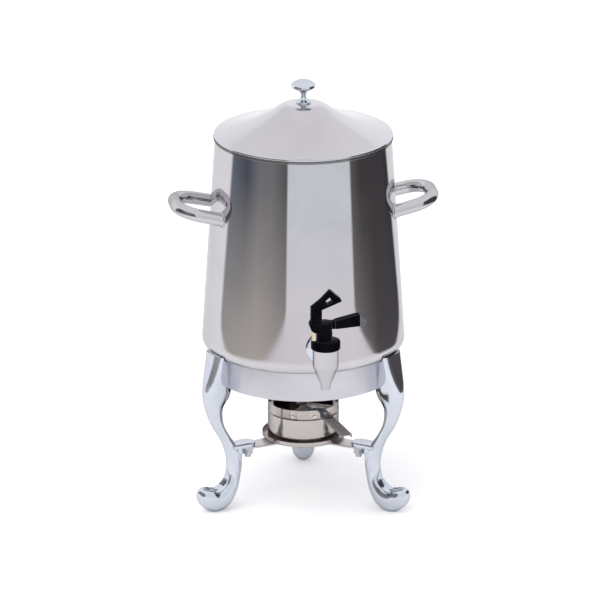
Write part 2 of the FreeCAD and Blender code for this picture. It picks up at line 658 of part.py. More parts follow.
def make_burner():
    floor = ARM_TOP_Z + TRAY_WALL
    neck_r = POT_R - 1.3
    pot = turned([
        (0, floor), (POT_R - 2, floor), (POT_R, floor + 2), (POT_R, POT_SHOULDER_Z - 0.8),
        (POT_R - 0.8, POT_SHOULDER_Z), (neck_r, POT_SHOULDER_Z), (neck_r, POT_NECK_Z),
        (neck_r - POT_WALL, POT_NECK_Z), (neck_r - POT_WALL, POT_SHOULDER_Z - 1.6),
        (POT_R - POT_WALL, POT_SHOULDER_Z - 2.4), (POT_R - POT_WALL, floor + 2.4),
        (POT_R - 2.4, floor + POT_WALL), (0, floor + POT_WALL),
    ])
    keep(pot, "burner_pot")

    inner = POT_R - 0.9
    collar_foot = POT_SHOULDER_Z + 0.5
    plate_top = TOP_PLATE_Z + PLATE_T
    collar = turned([
        (neck_r + 0.1, collar_foot), (POT_R - 0.2, collar_foot), (POT_R + 0.3, collar_foot + 0.8),
        (POT_R, collar_foot + 1.8), (POT_R, COLLAR_TOP_Z - 0.6), (POT_R - 0.5, COLLAR_TOP_Z),
        (inner, COLLAR_TOP_Z - 0.4), (inner, plate_top), (0, plate_top), (0, TOP_PLATE_Z), (inner - 0.2, TOP_PLATE_Z),
        (neck_r + 0.1, TOP_PLATE_Z - 0.4),
    ])
    for at in (STRAP_AZIMUTH - 90, STRAP_AZIMUTH + 90):
        window = sector(HUB_R + 1, WINDOW_OUTER_R, WINDOW_HALF_ANGLE, TOP_PLATE_Z - 2, 6, at + STAND_TURN - 90)
        collar = collar.cut(window)
    collar = collar.cut(cylinder(2.5, 10, V(0, 0, TOP_PLATE_Z - 4)))
    pin_z = 117.2
    holes = {"collar_screw": (-17.3, 1.9), "brass_stop": (18.0, 1.6)}
    for azimuth, radius in holes.values():
        collar = collar.cut(faced(cylinder(radius, 6, V(neck_r - 2, 0, pin_z), V(1, 0, 0)), azimuth))
    keep(collar, "burner_collar")
    for name, (azimuth, radius) in holes.items():
        shank = cylinder(radius, POT_R - neck_r + 0.1, V(neck_r + 0.1, 0, pin_z), V(1, 0, 0))
        head = cylinder(radius + 0.7, 1.0, V(POT_R + 0.2, 0, pin_z), V(1, 0, 0))
        keep(faced(shank.fuse(head).removeSplitter(), azimuth), name)

    rivet = cylinder(2.4, 5.2, V(0, 0, TOP_PLATE_Z - 1)).fuse(cylinder(4.4, 1, V(0, 0, TOP_PLATE_Z - 1)))
    rivet = rivet.fuse(cylinder(4.4, 1.2, V(0, 0, TOP_PLATE_Z + 4.2)))
    keep(rivet.removeSplitter(), "centre_rivet")


def strap_outline(points, thickness):
    """Side outline of a bent strap from its underside points."""
    upper = [(r, z + thickness) for r, z in points]
    return points + list(reversed(upper))


def make_shutter():
    low = TOP_PLATE_Z + PLATE_T + 0.3
    blades = [sector(HUB_R - 1, WINDOW_OUTER_R + 2.5, WINDOW_HALF_ANGLE + 2, low, PLATE_T, at) for at in (0, 180)]
    hub = cylinder(HUB_R + 1, PLATE_T, V(0, 0, low))
    shutter = joined([hub] + blades).cut(cylinder(2.46, 10, V(0, 0, low - 3)))
    keep(faced(shutter, STRAP_AZIMUTH), "flame_shutter")

    base = low + PLATE_T
    over = COLLAR_TOP_Z + 0.7
    side = strap_outline([
        (14, base), (36, base), (41, over), (49, over), (72, over - 2.4),
    ], STRAP_T)
    strap = plate(side, -STRAP_HALF_W, STRAP_HALF_W)
    at_r = 66.0
    rivets = []
    for t in (-2.6, 2.6):
        strap = strap.cut(cylinder(1.3, 20, V(at_r, t, over - 10)))
        shank = cylinder(1.25, 4.4, V(at_r, t, over - 2.9))
        head = cylinder(2.1, 0.9, V(at_r, t, over + 1.4))
        rivets.append(shank.fuse(head).removeSplitter())
    keep(faced(strap, STRAP_AZIMUTH), "shutter_strap")
    keep(faced(Part.makeCompound(rivets), STRAP_AZIMUTH), "strap_rivets")

    slope = 2.4 / 23
    under = [(58.0, over - 0.94 - STRAP_T - 0.02), (96.0, over - 0.94 - STRAP_T - 0.02 - 38 * slope - 0.9),
             (GRIP_TIP_R, over - 10.8)]
    grip = plate(strap_outline(under, STRAP_T), -STRAP_HALF_W - 0.6, STRAP_HALF_W + 0.6)
    lip_path = [(r, z - GRIP_LIP) for r, z in under]
    for side in (-1, 1):
        lip = sorted([side * (STRAP_HALF_W + 0.6), side * (STRAP_HALF_W - 0.4)])
        grip = grip.fuse(plate(strap_outline(lip_path, GRIP_LIP + 0.4), lip[0], lip[1]))
    grip = grip.removeSplitter()
    for t in (-2.6, 2.6):
        grip = grip.cut(cylinder(1.3, 20, V(at_r, t, over - 10)))
    keep(faced(grip, STRAP_AZIMUTH), "strap_grip")


outer_form, hollow_form = make_vessel()
make_lid()
make_handles(outer_form)
make_tap_fixing(outer_form, hollow_form)
make_valve_body()
make_bonnet()
make_yoke()
make_lever()
make_valve_stem()
make_ring()
make_legs()
make_stand_fixings()
make_tray()
make_burner()
make_shutter()
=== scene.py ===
import bpy
import bmesh
import json
from math import atan, atan2, cos, hypot, pi, radians, sin, tan
from mathutils import Matrix, Vector

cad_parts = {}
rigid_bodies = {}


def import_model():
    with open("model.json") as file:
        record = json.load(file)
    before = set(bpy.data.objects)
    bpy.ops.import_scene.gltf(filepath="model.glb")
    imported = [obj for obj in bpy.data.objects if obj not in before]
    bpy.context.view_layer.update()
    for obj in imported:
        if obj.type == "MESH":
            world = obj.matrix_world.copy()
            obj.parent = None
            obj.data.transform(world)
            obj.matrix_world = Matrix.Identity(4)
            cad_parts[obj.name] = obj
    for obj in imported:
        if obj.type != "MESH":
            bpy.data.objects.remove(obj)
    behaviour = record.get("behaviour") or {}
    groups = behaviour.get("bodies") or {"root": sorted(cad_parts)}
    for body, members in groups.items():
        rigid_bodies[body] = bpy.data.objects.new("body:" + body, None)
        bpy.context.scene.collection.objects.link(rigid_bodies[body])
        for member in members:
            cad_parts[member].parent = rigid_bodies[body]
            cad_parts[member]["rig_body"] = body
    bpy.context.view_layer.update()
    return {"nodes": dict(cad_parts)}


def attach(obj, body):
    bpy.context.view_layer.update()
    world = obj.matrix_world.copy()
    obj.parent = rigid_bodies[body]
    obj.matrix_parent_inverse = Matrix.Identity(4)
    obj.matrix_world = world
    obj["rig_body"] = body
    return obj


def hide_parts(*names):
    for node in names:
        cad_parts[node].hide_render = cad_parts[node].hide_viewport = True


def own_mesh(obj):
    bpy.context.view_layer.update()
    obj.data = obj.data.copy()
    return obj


# Coffee urn on its stand: polished vessel, lid, tap, cast legs, spirit burner.
# Sizes in the dictionaries are in millimetres, and scaled once with mm.

mm = 0.001
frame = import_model()
nodes = frame["nodes"]
print("frame loaded,", len(nodes), "nodes")

bpy.context.scene.view_settings.view_transform = "Standard"


# Small modelling helpers

def newPiece(name, bm, body, material, sharp=35, fixNormals=True):
    if fixNormals:
        bmesh.ops.remove_doubles(bm, verts=bm.verts, dist=0.002 * mm)
        bmesh.ops.recalc_face_normals(bm, faces=bm.faces)
    mesh = bpy.data.meshes.new(name)
    bm.to_mesh(mesh)
    bm.free()
    for face in mesh.polygons:
        face.use_smooth = True
    mesh.set_sharp_from_angle(angle=radians(sharp))
    piece = bpy.data.objects.new(name, mesh)
    bpy.context.scene.collection.objects.link(piece)
    mesh.materials.append(material)
    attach(piece, body)
    return piece


# Points along a soft curve through the given ones
def smoothLine(points, steps=6):
    out = []
    for k in range(len(points) - 1):
        a = Vector(points[max(k - 1, 0)])
        b = Vector(points[k])
        c = Vector(points[k + 1])
        d = Vector(points[min(k + 2, len(points) - 1)])
        for s in range(steps):
            t = s / steps
            square = (2 * a - 5 * b + 4 * c - d) * t * t
            cube = (3 * b - a - 3 * c + d) * t ** 3
            out.append(0.5 * (2 * b + (c - a) * t + square + cube))
    out.append(Vector(points[-1]))
    return [tuple(p) for p in out]


# A line whose corners are rounded by the given radius
def roundedLine(points, radius, steps=4, closed=False):
    out = []
    count = len(points)
    for k in range(count):
        if not closed and k in (0, count - 1):
            out.append(tuple(points[k]))
            continue
        corner = Vector(points[k])
        back = Vector(points[k - 1]) - corner
        ahead = Vector(points[(k + 1) % count]) - corner
        cut = min(radius, back.length * 0.45, ahead.length * 0.45)
        first = corner + back.normalized() * cut
        last = corner + ahead.normalized() * cut
        for s in range(steps + 1):
            t = s / steps
            out.append(tuple(first * (1 - t) ** 2 + corner * 2 * t * (1 - t) + last * t * t))
    return out


# Turns a radius and height line about an axis. The profile is in millimetres
def spinProfile(bm, profile, segments=128, centre=(0, 0, 0), axis="Z", closed=False):
    verts = [bm.verts.new((r * mm, 0, z * mm)) for r, z in profile]
    edges = [bm.edges.new(pair) for pair in zip(verts, verts[1:])]
    if closed:
        edges.append(bm.edges.new((verts[-1], verts[0])))
    before = set(bm.verts) - set(verts)
    bmesh.ops.spin(bm, geom=verts + edges, cent=(0, 0, 0), axis=(0, 0, 1), dvec=(0, 0, 0), angle=2 * pi,
                   steps=segments, use_merge=True, use_normal_flip=False, use_duplicate=False)
    made = [v for v in bm.verts if v not in before]
    place = Matrix.Translation(Vector(centre) * mm)
    if axis == "Y":
        place = place @ Matrix.Rotation(radians(-90), 4, "X")
    bmesh.ops.transform(bm, matrix=place, verts=made)
    return made


# Flat piece from an x and z outline, as thick as low to high along y
def plateOutline(bm, outline, low, high, bevel=0.5, segments=2):
    verts = [bm.verts.new((x * mm, low * mm, z * mm)) for x, z in outline]
    face = bm.faces.new(verts)
    grown = bmesh.ops.extrude_face_region(bm, geom=[face])
    moved = [g for g in grown["geom"] if isinstance(g, bmesh.types.BMVert)]
    bmesh.ops.translate(bm, verts=moved, vec=(0, (high - low) * mm, 0))
    made = verts + moved
    if bevel:
        rims = [e for e in bm.edges if e.verts[0] in made and e.verts[1] in made
                and abs(e.verts[0].co.y - e.verts[1].co.y) < 1e-7]
        done = bmesh.ops.bevel(bm, geom=rims, offset=bevel * mm, offset_type="OFFSET", segments=segments,
                               profile=0.5, affect="EDGES", clamp_overlap=True, material=-1)
        made = list({v for v in made if v.is_valid} | set(done["verts"]))
    return made


# Turns what points along +X to a leg's direction
def turnAbout(bm, verts, azimuth):
    turn = Matrix.Rotation(radians(azimuth + stand["turn"] - 90), 3, "Z")
    bmesh.ops.rotate(bm, verts=verts, cent=(0, 0, 0), matrix=turn)


# A clean copy of a CAD node with softened edges, standing for it
def dressedCopy(node, material, bevel=0.3, segments=2, sharp=40, flat=1.2):
    source = nodes[node]
    bm = bmesh.new()
    bm.from_mesh(source.data)
    bmesh.ops.remove_doubles(bm, verts=bm.verts, dist=0.001 * mm)
    bmesh.ops.dissolve_limit(bm, angle_limit=radians(flat), verts=bm.verts, edges=bm.edges)
    piece = newPiece(node + "_dressed", bm, source["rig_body"], material, sharp, fixNormals=False)
    if bevel:
        soft = piece.modifiers.new("softEdges", "BEVEL")
        soft.width = bevel * mm
        soft.segments = segments
        soft.limit_method = "ANGLE"
        soft.angle_limit = radians(34)
        soft.harden_normals = False
    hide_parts(node)
    return piece


# Finishes

finishes = {
    "polishedSteel": {"colour": (0.66, 0.645, 0.66), "rough": 0.045, "marks": 0.05},
    # The rim's dark colour is painted shade: the dark line beneath the lid's edge
    "rimSteelPaintedShade": {"colour": (0.24, 0.235, 0.24), "rough": 0.06, "marks": 0.05},
    "lidSteel": {"colour": (0.64, 0.625, 0.65), "rough": 0.11, "marks": 0.06},
    "satinBand": {"colour": (0.66, 0.645, 0.685), "rough": 0.30, "marks": 0.06},
    "tubeSteel": {"colour": (0.62, 0.61, 0.63), "rough": 0.05, "marks": 0.04},
    "tapPlate": {"colour": (0.57, 0.57, 0.58), "rough": 0.10, "marks": 0.10},
    "plate": {"colour": (0.69, 0.73, 0.79), "rough": 0.08, "marks": 0.06},
    "burnerSteel": {"colour": (0.54, 0.50, 0.475), "rough": 0.10, "marks": 0.12},
    "strapSteel": {"colour": (0.16, 0.155, 0.15), "rough": 0.22, "marks": 0.14},
    "armSteel": {"colour": (0.58, 0.56, 0.57), "rough": 0.27, "marks": 0.12},
    "zinc": {"colour": (0.55, 0.55, 0.57), "rough": 0.28, "marks": 0.15},
    "brass": {"colour": (0.74, 0.64, 0.46), "rough": 0.18, "marks": 0.12},
    "spring": {"colour": (0.52, 0.52, 0.55), "rough": 0.3, "marks": 0.1},
}


# Group: faint smears, wipe marks and specks on polished metal
def makePolishMarks():
    group = bpy.data.node_groups.new("polishMarks", "ShaderNodeTree")
    for name, value in (("Scale", 12.0), ("Amount", 0.05), ("Rough", 0.1)):
        group.interface.new_socket(name, in_out="INPUT", socket_type="NodeSocketFloat").default_value = value
    group.interface.new_socket("Roughness", in_out="OUTPUT", socket_type="NodeSocketFloat")
    group.interface.new_socket("Smear", in_out="OUTPUT", socket_type="NodeSocketFloat")
    put = group.nodes.new
    join = group.links.new
    ends = put("NodeGroupInput"), put("NodeGroupOutput")
    where = put("ShaderNodeTexCoord")
    smear = put("ShaderNodeTexNoise")
    smear.inputs["Detail"].default_value = 4
    smear.inputs["Distortion"].default_value = 0.8
    specks = put("ShaderNodeTexNoise")
    specks.inputs["Scale"].default_value = 420
    specks.inputs["Detail"].default_value = 2
    soft = put("ShaderNodeMapRange")
    soft.inputs["From Min"].default_value = 0.42
    soft.inputs["From Max"].default_value = 0.74
    dots = put("ShaderNodeMapRange")
    dots.inputs["From Min"].default_value = 0.66
    dots.inputs["From Max"].default_value = 0.8
    both = put("ShaderNodeMath")
    both.operation = "MAXIMUM"
    times = put("ShaderNodeMath")
    times.operation = "MULTIPLY_ADD"
    join(where.outputs["Object"], smear.inputs["Vector"])
    join(where.outputs["Object"], specks.inputs["Vector"])
    join(ends[0].outputs["Scale"], smear.inputs["Scale"])
    join(smear.outputs["Fac"], soft.inputs["Value"])
    join(specks.outputs["Fac"], dots.inputs["Value"])
    join(soft.outputs["Result"], both.inputs[0])
    join(dots.outputs["Result"], both.inputs[1])
    join(both.outputs["Value"], times.inputs[0])
    join(ends[0].outputs["Amount"], times.inputs[1])
    join(ends[0].outputs["Rough"], times.inputs[2])
    join(times.outputs["Value"], ends[1].inputs["Roughness"])
    join(both.outputs["Value"], ends[1].inputs["Smear"])
    return group


# Group: fine turning lines round the urn's axis, and a slight waviness of the sheet
def makeSpunGrain():
    group = bpy.data.node_groups.new("spunGrain", "ShaderNodeTree")
    for name, value in (("Lines", 1600.0), ("Wave Scale", 7.0), ("Wave", 0.5)):
        group.interface.new_socket(name, in_out="INPUT", socket_type="NodeSocketFloat").default_value = value
    group.interface.new_socket("Height", in_out="OUTPUT", socket_type="NodeSocketFloat")
    group.interface.new_socket("Grain", in_out="OUTPUT", socket_type="NodeSocketFloat")
    put = group.nodes.new
    join = group.links.new
    ends = put("NodeGroupInput"), put("NodeGroupOutput")
    where = put("ShaderNodeTexCoord")
    split = put("ShaderNodeSeparateXYZ")
    square = put("ShaderNodeVectorMath")
    square.operation = "LENGTH"
    flatten = put("ShaderNodeCombineXYZ")
    level = put("ShaderNodeCombineXYZ")
    lines = put("ShaderNodeTexNoise")
    lines.noise_dimensions = "2D"
    lines.inputs["Detail"].default_value = 3
    sheet = put("ShaderNodeTexNoise")
    sheet.inputs["Detail"].default_value = 1
    add = put("ShaderNodeMath")
    add.operation = "MULTIPLY_ADD"
    join(where.outputs["Object"], split.inputs["Vector"])
    join(split.outputs["X"], flatten.inputs["X"])
    join(split.outputs["Y"], flatten.inputs["Y"])
    join(flatten.outputs["Vector"], square.inputs[0])
    join(square.outputs["Value"], level.inputs["X"])
    join(split.outputs["Z"], level.inputs["Y"])
    join(level.outputs["Vector"], lines.inputs["Vector"])
    join(ends[0].outputs["Lines"], lines.inputs["Scale"])
    join(where.outputs["Object"], sheet.inputs["Vector"])
    join(ends[0].outputs["Wave Scale"], sheet.inputs["Scale"])
    join(sheet.outputs["Fac"], add.inputs[0])
    join(ends[0].outputs["Wave"], add.inputs[1])
    join(lines.outputs["Fac"], add.inputs[2])
    join(add.outputs["Value"], ends[1].inputs["Height"])
    join(lines.outputs["Fac"], ends[1].inputs["Grain"])
    return group


polishMarks = makePolishMarks()
spunGrain = makeSpunGrain()


# Metal finish with smears, turning lines and a faint change of tone
def metal(name, key, tint=None, lines=1600.0, wave=0.5, bump=0.02, edge=1.0, waveScale=7.0):
    values = finishes[key]
    material = bpy.data.materials.new(name)
    material.use_nodes = True
    tree = material.node_tree
    shader = tree.nodes["Principled BSDF"]
    shader.inputs["Metallic"].default_value = 1
    shader.inputs["Specular Tint"].default_value = (edge, edge, edge, 1)
    marks = tree.nodes.new("ShaderNodeGroup")
    marks.node_tree = polishMarks
    marks.inputs["Scale"].default_value = 9
    marks.inputs["Amount"].default_value = values["marks"]
    marks.inputs["Rough"].default_value = values["rough"]
    grain = tree.nodes.new("ShaderNodeGroup")
    grain.node_tree = spunGrain
    grain.inputs["Lines"].default_value = lines
    grain.inputs["Wave"].default_value = wave
    grain.inputs["Wave Scale"].default_value = waveScale
    tone = tree.nodes.new("ShaderNodeMix")
    tone.data_type = "RGBA"
    dull = tint or tuple(c * 0.9 for c in values["colour"])
    tone.inputs[6].default_value = (*values["colour"], 1)
    tone.inputs[7].default_value = (*dull, 1)
    relief = tree.nodes.new("ShaderNodeBump")
    relief.inputs["Strength"].default_value = bump
    relief.inputs["Distance"].default_value = 0.001
    link = tree.links.new
    link(marks.outputs["Roughness"], shader.inputs["Roughness"])
    link(marks.outputs["Smear"], tone.inputs[0])
    link(tone.outputs[2], shader.inputs["Base Color"])
    link(grain.outputs["Height"], relief.inputs["Height"])
    link(relief.outputs["Normal"], shader.inputs["Normal"])
    return material


# Moulded plastic or rubber: fine skin, faint scuffs that are a little lighter and rougher
def moulded(name, colour, rough, worn, coat=0.0, shine=0.5, scale=260, bump=0.06):
    material = bpy.data.materials.new(name)
    material.use_nodes = True
    tree = material.node_tree
    shader = tree.nodes["Principled BSDF"]
    shader.inputs["Coat Weight"].default_value = coat
    shader.inputs["Coat Roughness"].default_value = 0.06
    shader.inputs["Specular IOR Level"].default_value = shine
    marks = tree.nodes.new("ShaderNodeGroup")
    marks.node_tree = polishMarks
    marks.inputs["Scale"].default_value = 38
    marks.inputs["Amount"].default_value = 0.14
    marks.inputs["Rough"].default_value = rough
    where = tree.nodes.new("ShaderNodeTexCoord")
    skin = tree.nodes.new("ShaderNodeTexNoise")
    skin.inputs["Scale"].default_value = scale
    skin.inputs["Detail"].default_value = 3
    tone = tree.nodes.new("ShaderNodeMix")
    tone.data_type = "RGBA"
    tone.inputs[6].default_value = (*colour, 1)
    tone.inputs[7].default_value = (*worn, 1)
    relief = tree.nodes.new("ShaderNodeBump")
    relief.inputs["Strength"].default_value = bump
    relief.inputs["Distance"].default_value = 0.0004
    link = tree.links.new
    link(where.outputs["Object"], skin.inputs["Vector"])
    link(marks.outputs["Roughness"], shader.inputs["Roughness"])
    link(marks.outputs["Smear"], tone.inputs[0])
    link(tone.outputs[2], shader.inputs["Base Color"])
    link(skin.outputs["Fac"], relief.inputs["Height"])
    link(relief.outputs["Normal"], shader.inputs["Normal"])
    return material


mirrorSteel = metal("mirror steel", "polishedSteel", lines=900, wave=2.4, bump=0.006, edge=0.8)
# Rim steel darkened as painted shade under the lid's edge
rimSteelPaintedShade = metal("rim steel with painted shade", "rimSteelPaintedShade", lines=900, wave=1.2, bump=0.02, edge=0.5)
lidSteel = metal("lid steel", "lidSteel", lines=1300, wave=0.6, bump=0.03)
satinBand = metal("satin band", "satinBand", lines=2200, wave=0.5, bump=0.09)
tubeSteel = metal("tube steel", "tubeSteel", lines=400, wave=1.2, bump=0.03, edge=0.55, waveScale=18)
chromePlate = metal("chrome plate", "plate", tint=(0.60, 0.64, 0.72), lines=60, wave=2.4, bump=0.10,
                    edge=0.7, waveScale=38)
tapPlate = metal("tap plate", "tapPlate", tint=(0.42, 0.43, 0.46), lines=300, wave=1.6, bump=0.06,
                 edge=0.35, waveScale=30)
burnerSteel = metal("burner steel", "burnerSteel", tint=(0.46, 0.40, 0.34), lines=1500, wave=0.9, bump=0.09,
                    edge=0.35)
strapSteel = metal("strap steel", "strapSteel", tint=(0.40, 0.37, 0.34), lines=700, wave=0.6, bump=0.12)
armSteel = metal("arm steel", "armSteel", lines=900, wave=0.6, bump=0.10)
zincSteel = metal("zinc fixings", "zinc", lines=500, wave=1.0, bump=0.15, waveScale=120)
brassMetal = metal("brass", "brass", tint=(0.62, 0.42, 0.18), lines=600, wave=0.8, bump=0.10)
springWire = metal("spring wire", "spring", lines=300, wave=0.5, bump=0.05)
blackPlastic = moulded("black plastic", (0.0015, 0.0015, 0.003), 0.12, (0.006, 0.006, 0.009), shine=0.02)
# The end cap's grey tone is a painted reflection: the grey patch on the lever tip's black facet
greyCapPaintedReflection = moulded("end cap with painted grey reflection", (0.10, 0.115, 0.14), 0.12, (0.16, 0.17, 0.20), coat=0.12, shine=0.3)
blackRubber = moulded("black rubber", (0.020, 0.020, 0.020), 0.62, (0.045, 0.045, 0.045), bump=0.25)
print("finishes made")


# Vessel

vessel = {
    "seatZ": 201.0, "topZ": 473.0, "cornerR": 12.0, "cornerCentreR": 115.9, "taper": 0.065, "wall": 1.0,
    "undersideInnerR": 104.0, "panR": 98.5, "panDrop": 11.0, "panFlangeR": 112.0, "panFlatR": 60.0, "panWall": 1.2,
    "rimR": 112.6, "rimInnerR": 109.0, "rimH": 3.2, "segments": 288,
    "seamLow": 226.0, "seamHigh": 470.0, "seamHalfW": 0.9, "seamRise": 0.22, "seamSink": 0.06,
}


# Radius and height line of the wall, from the underside's edge up to the rim
def vesselLine(inset, top):
    lean = atan(vessel["taper"])
    radius = vessel["cornerR"] - inset
    midZ = vessel["seatZ"] + vessel["cornerR"]
    line = [(vessel["undersideInnerR"], midZ - radius)]
    for k in range(25):
        angle = -pi / 2 + (pi / 2 + lean) * k / 24
        line.append((vessel["cornerCentreR"] + radius * cos(angle), midZ + radius * sin(angle)))
    startR, startZ = line[-1]
    for k in range(1, 41):
        z = startZ + (top - startZ) * k / 40
        line.append((startR - vessel["taper"] * (z - startZ), z))
    return line


def wallRadius(z):
    lean = atan(vessel["taper"])
    startR = vessel["cornerCentreR"] + vessel["cornerR"] * cos(lean)
    startZ = vessel["seatZ"] + vessel["cornerR"] + vessel["cornerR"] * sin(lean)
    return startR - vessel["taper"] * (z - startZ)


def makeVessel():
    bm = bmesh.new()
    outside = vesselLine(0, vessel["topZ"])
    inside = vesselLine(vessel["wall"], vessel["topZ"])
    spinProfile(bm, outside + list(reversed(inside)), vessel["segments"], closed=True)
    shell = newPiece("vessel_wall", bm, "urn", mirrorSteel)
    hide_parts("outer_shell")

    bm = bmesh.new()
    base = vessel["topZ"]
    top = base + vessel["rimH"]
    bead = roundedLine([
        (vessel["rimInnerR"] + 0.6, base), (vessel["rimR"], base), (vessel["rimR"], top), (vessel["rimInnerR"], top),
        (vessel["rimInnerR"], base),
    ], 1.1, 6, closed=True)
    spinProfile(bm, bead, vessel["segments"], closed=True)
    rim = newPiece("rolled_rim", bm, "urn", rimSteelPaintedShade, sharp=60)
    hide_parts("rim_bead")

    bm = bmesh.new()
    floor = vessel["seatZ"] - vessel["panDrop"]
    flange = vessel["seatZ"] + vessel["wall"]
    wall, panR, flatR = vessel["panWall"], vessel["panR"], vessel["panFlatR"]
    under = roundedLine([
        (0, floor), (flatR, floor), (panR, floor), (panR, flange), (vessel["panFlangeR"], flange),
    ], 3.5, 6)
    upper = [(vessel["panFlangeR"], flange + wall)] + roundedLine([
        (panR - 0.6, flange + wall), (panR - wall, flange + wall), (panR - wall, floor + wall),
        (flatR, floor + wall), (0, floor + wall),
    ], 2.6, 6)
    spinProfile(bm, under + upper, 192)
    pan = newPiece("vessel_bottom", bm, "urn", satinBand)
    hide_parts("bottom_pan")

    bm = bmesh.new()      # weld line down the back of the wall
    halfW, rise = vessel["seamHalfW"], vessel["seamRise"]
    seam = [bm.verts.new((halfW * cos(a) * mm, rise * sin(a) * mm, 0)) for a in [pi * k / 6 for k in range(7)]]
    line = [bm.edges.new(pair) for pair in zip(seam, seam[1:])]
    low, high = vessel["seamLow"], vessel["seamHigh"]
    bmesh.ops.translate(bm, verts=seam, vec=(0, (wallRadius(low) - vessel["seamSink"]) * mm, low * mm))
    lifted = bmesh.ops.extrude_edge_only(bm, edges=line)
    ends = [g for g in lifted["geom"] if isinstance(g, bmesh.types.BMVert)]
    bmesh.ops.translate(bm, verts=ends, vec=(0, (wallRadius(high) - wallRadius(low)) * mm, (high - low) * mm))
    newPiece("wall_seam", bm, "urn", mirrorSteel, fixNormals=False)


makeVessel()
print("vessel made")


# Lid and knob

lid = {
    "edgeR": 112.0, "edgeH": 3.0, "wall": 1.0, "skirtR": 107.6, "skirtH": 12.0, "hubZ": 518.6, "segments": 256,
    "bell": [(110.4, 0), (96, 3.6), (80, 8.6), (64, 15.2), (50, 22.4), (40, 28.4), (32, 34.2), (24, 38.1),
             (14, 39.4), (0, 39.4)],
    "knob": [(9.2, 0.0), (9.2, 1.9), (7.6, 3.1), (4.9, 4.9), (3.3, 8.2), (3.2, 10.6), (4.2, 13.4), (7.2, 16.4),
             (12.4, 19.2), (14.7, 20.8), (15.3, 22.8), (14.9, 24.6), (13.4, 26.3), (8.5, 28.9), (4, 29.8), (0, 30.0)],
}


def makeLid():
    seat = vessel["topZ"] + vessel["rimH"]
    top = seat + lid["edgeH"]
    bell = [(r, top + z) for r, z in smoothLine(lid["bell"], 8)]
    under = [(r, z - lid["wall"]) for r, z in bell if r < lid["edgeR"] - 7]
    edge = roundedLine([
        (lid["skirtR"], seat), (lid["edgeR"], seat), (lid["edgeR"], top), (lid["bell"][0][0], top),
    ], 1.2, 6)
    line = [(lid["skirtR"], top - 0.4)] + edge[:-1] + bell
    bm = bmesh.new()
    spinProfile(bm, line + [(0, under[-1][1])] + list(reversed(under[:-1])), lid["segments"], closed=False)
    dome = newPiece("lid_dome", bm, "lid", lidSteel, sharp=40)
    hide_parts("lid_pan")

    bm = bmesh.new()
    out = lid["skirtR"]
    foot = seat - lid["skirtH"]
    skirt = [(out - 0.9, top + 0.6), (out - 0.9, foot + 0.6), (out - 0.45, foot), (out, foot + 0.6), (out, top + 0.4)]
    spinProfile(bm, skirt, lid["segments"])
    ring = newPiece("lid_collar", bm, "lid", lidSteel)
    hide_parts("lid_skirt")

    bm = bmesh.new()
    knobLine = [(r, lid["hubZ"] + z) for r, z in smoothLine(lid["knob"], 6)]
    knobLine[0] = (lid["knob"][0][0], lid["hubZ"])
    spinProfile(bm, [(0, lid["hubZ"])] + knobLine, 96)
    knob = newPiece("lid_button", bm, "lid", chromePlate, sharp=60)
    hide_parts("lid_knob")


makeLid()
print("lid made")


# Side handles

handles = {
    "tubeR": 8.2, "wallZ": 383.0, "halfSpan": 39.4, "endX": 109.0, "tipX": 162.0, "tipHalfSpan": 35.4, "rise": 11.9,
    "bendR": 30.0, "round": 48, "sink": 0.4, "weldR": 1.3, "weldOut": 0.5,
}


# Round tube through straight runs and bends, made by extruding and spinning one ring
def tubeAlong(bm, points, radius, bendR, around):
    start = Vector(points[0])
    run = (Vector(points[1]) - start).normalized()
    side = run.cross(Vector((0, 0, 1))).normalized()
    up = side.cross(run)
    turn = Matrix((side, up, run)).transposed().to_4x4()
    ring = bmesh.ops.create_circle(bm, cap_ends=False, segments=around, radius=radius * mm,
                                   matrix=Matrix.Translation(start * mm) @ turn)["verts"]
    firstRing = list(ring)
    edges = [e for e in bm.edges if e.verts[0] in ring and e.verts[1] in ring]

    def pushed(edges, vec):
        grown = bmesh.ops.extrude_edge_only(bm, edges=edges)["geom"]
        verts = [g for g in grown if isinstance(g, bmesh.types.BMVert)]
        bmesh.ops.translate(bm, verts=verts, vec=vec * mm)
        rim = [e for e in grown if isinstance(e, bmesh.types.BMEdge) and e.verts[0] in verts and e.verts[1] in verts]
        return rim, verts

    here = start
    for before, corner, after in zip(points, points[1:], points[2:]):
        before, corner, after = Vector(before), Vector(corner), Vector(after)
        back = (before - corner).normalized()
        on = (after - corner).normalized()
        half = back.angle(on) / 2
        first = corner + back * (bendR / tan(half))
        last = corner + on * (bendR / tan(half))
        centre = corner + (back + on).normalized() * (bendR / sin(half))
        edges, _ = pushed(edges, first - here)
        axis = (first - centre).cross(last - centre).normalized()
        spun = bmesh.ops.spin(bm, geom=edges, cent=centre * mm, axis=axis, dvec=(0, 0, 0), angle=pi - 2 * half,
                              steps=14, use_merge=False, use_normal_flip=False, use_duplicate=False)["geom_last"]
        edges = [g for g in spun if isinstance(g, bmesh.types.BMEdge)]
        here = last
    edges, lastRing = pushed(edges, Vector(points[-1]) - here)
    return firstRing, lastRing


# Slides the end ring of a tube along its run until it meets the wall
def ontoWall(verts, along, sink):
    for v in verts:
        for _ in range(12):
            r = hypot(v.co.x, v.co.y) / mm
            v.co += along * ((r - (wallRadius(v.co.z / mm) - sink)) * mm)


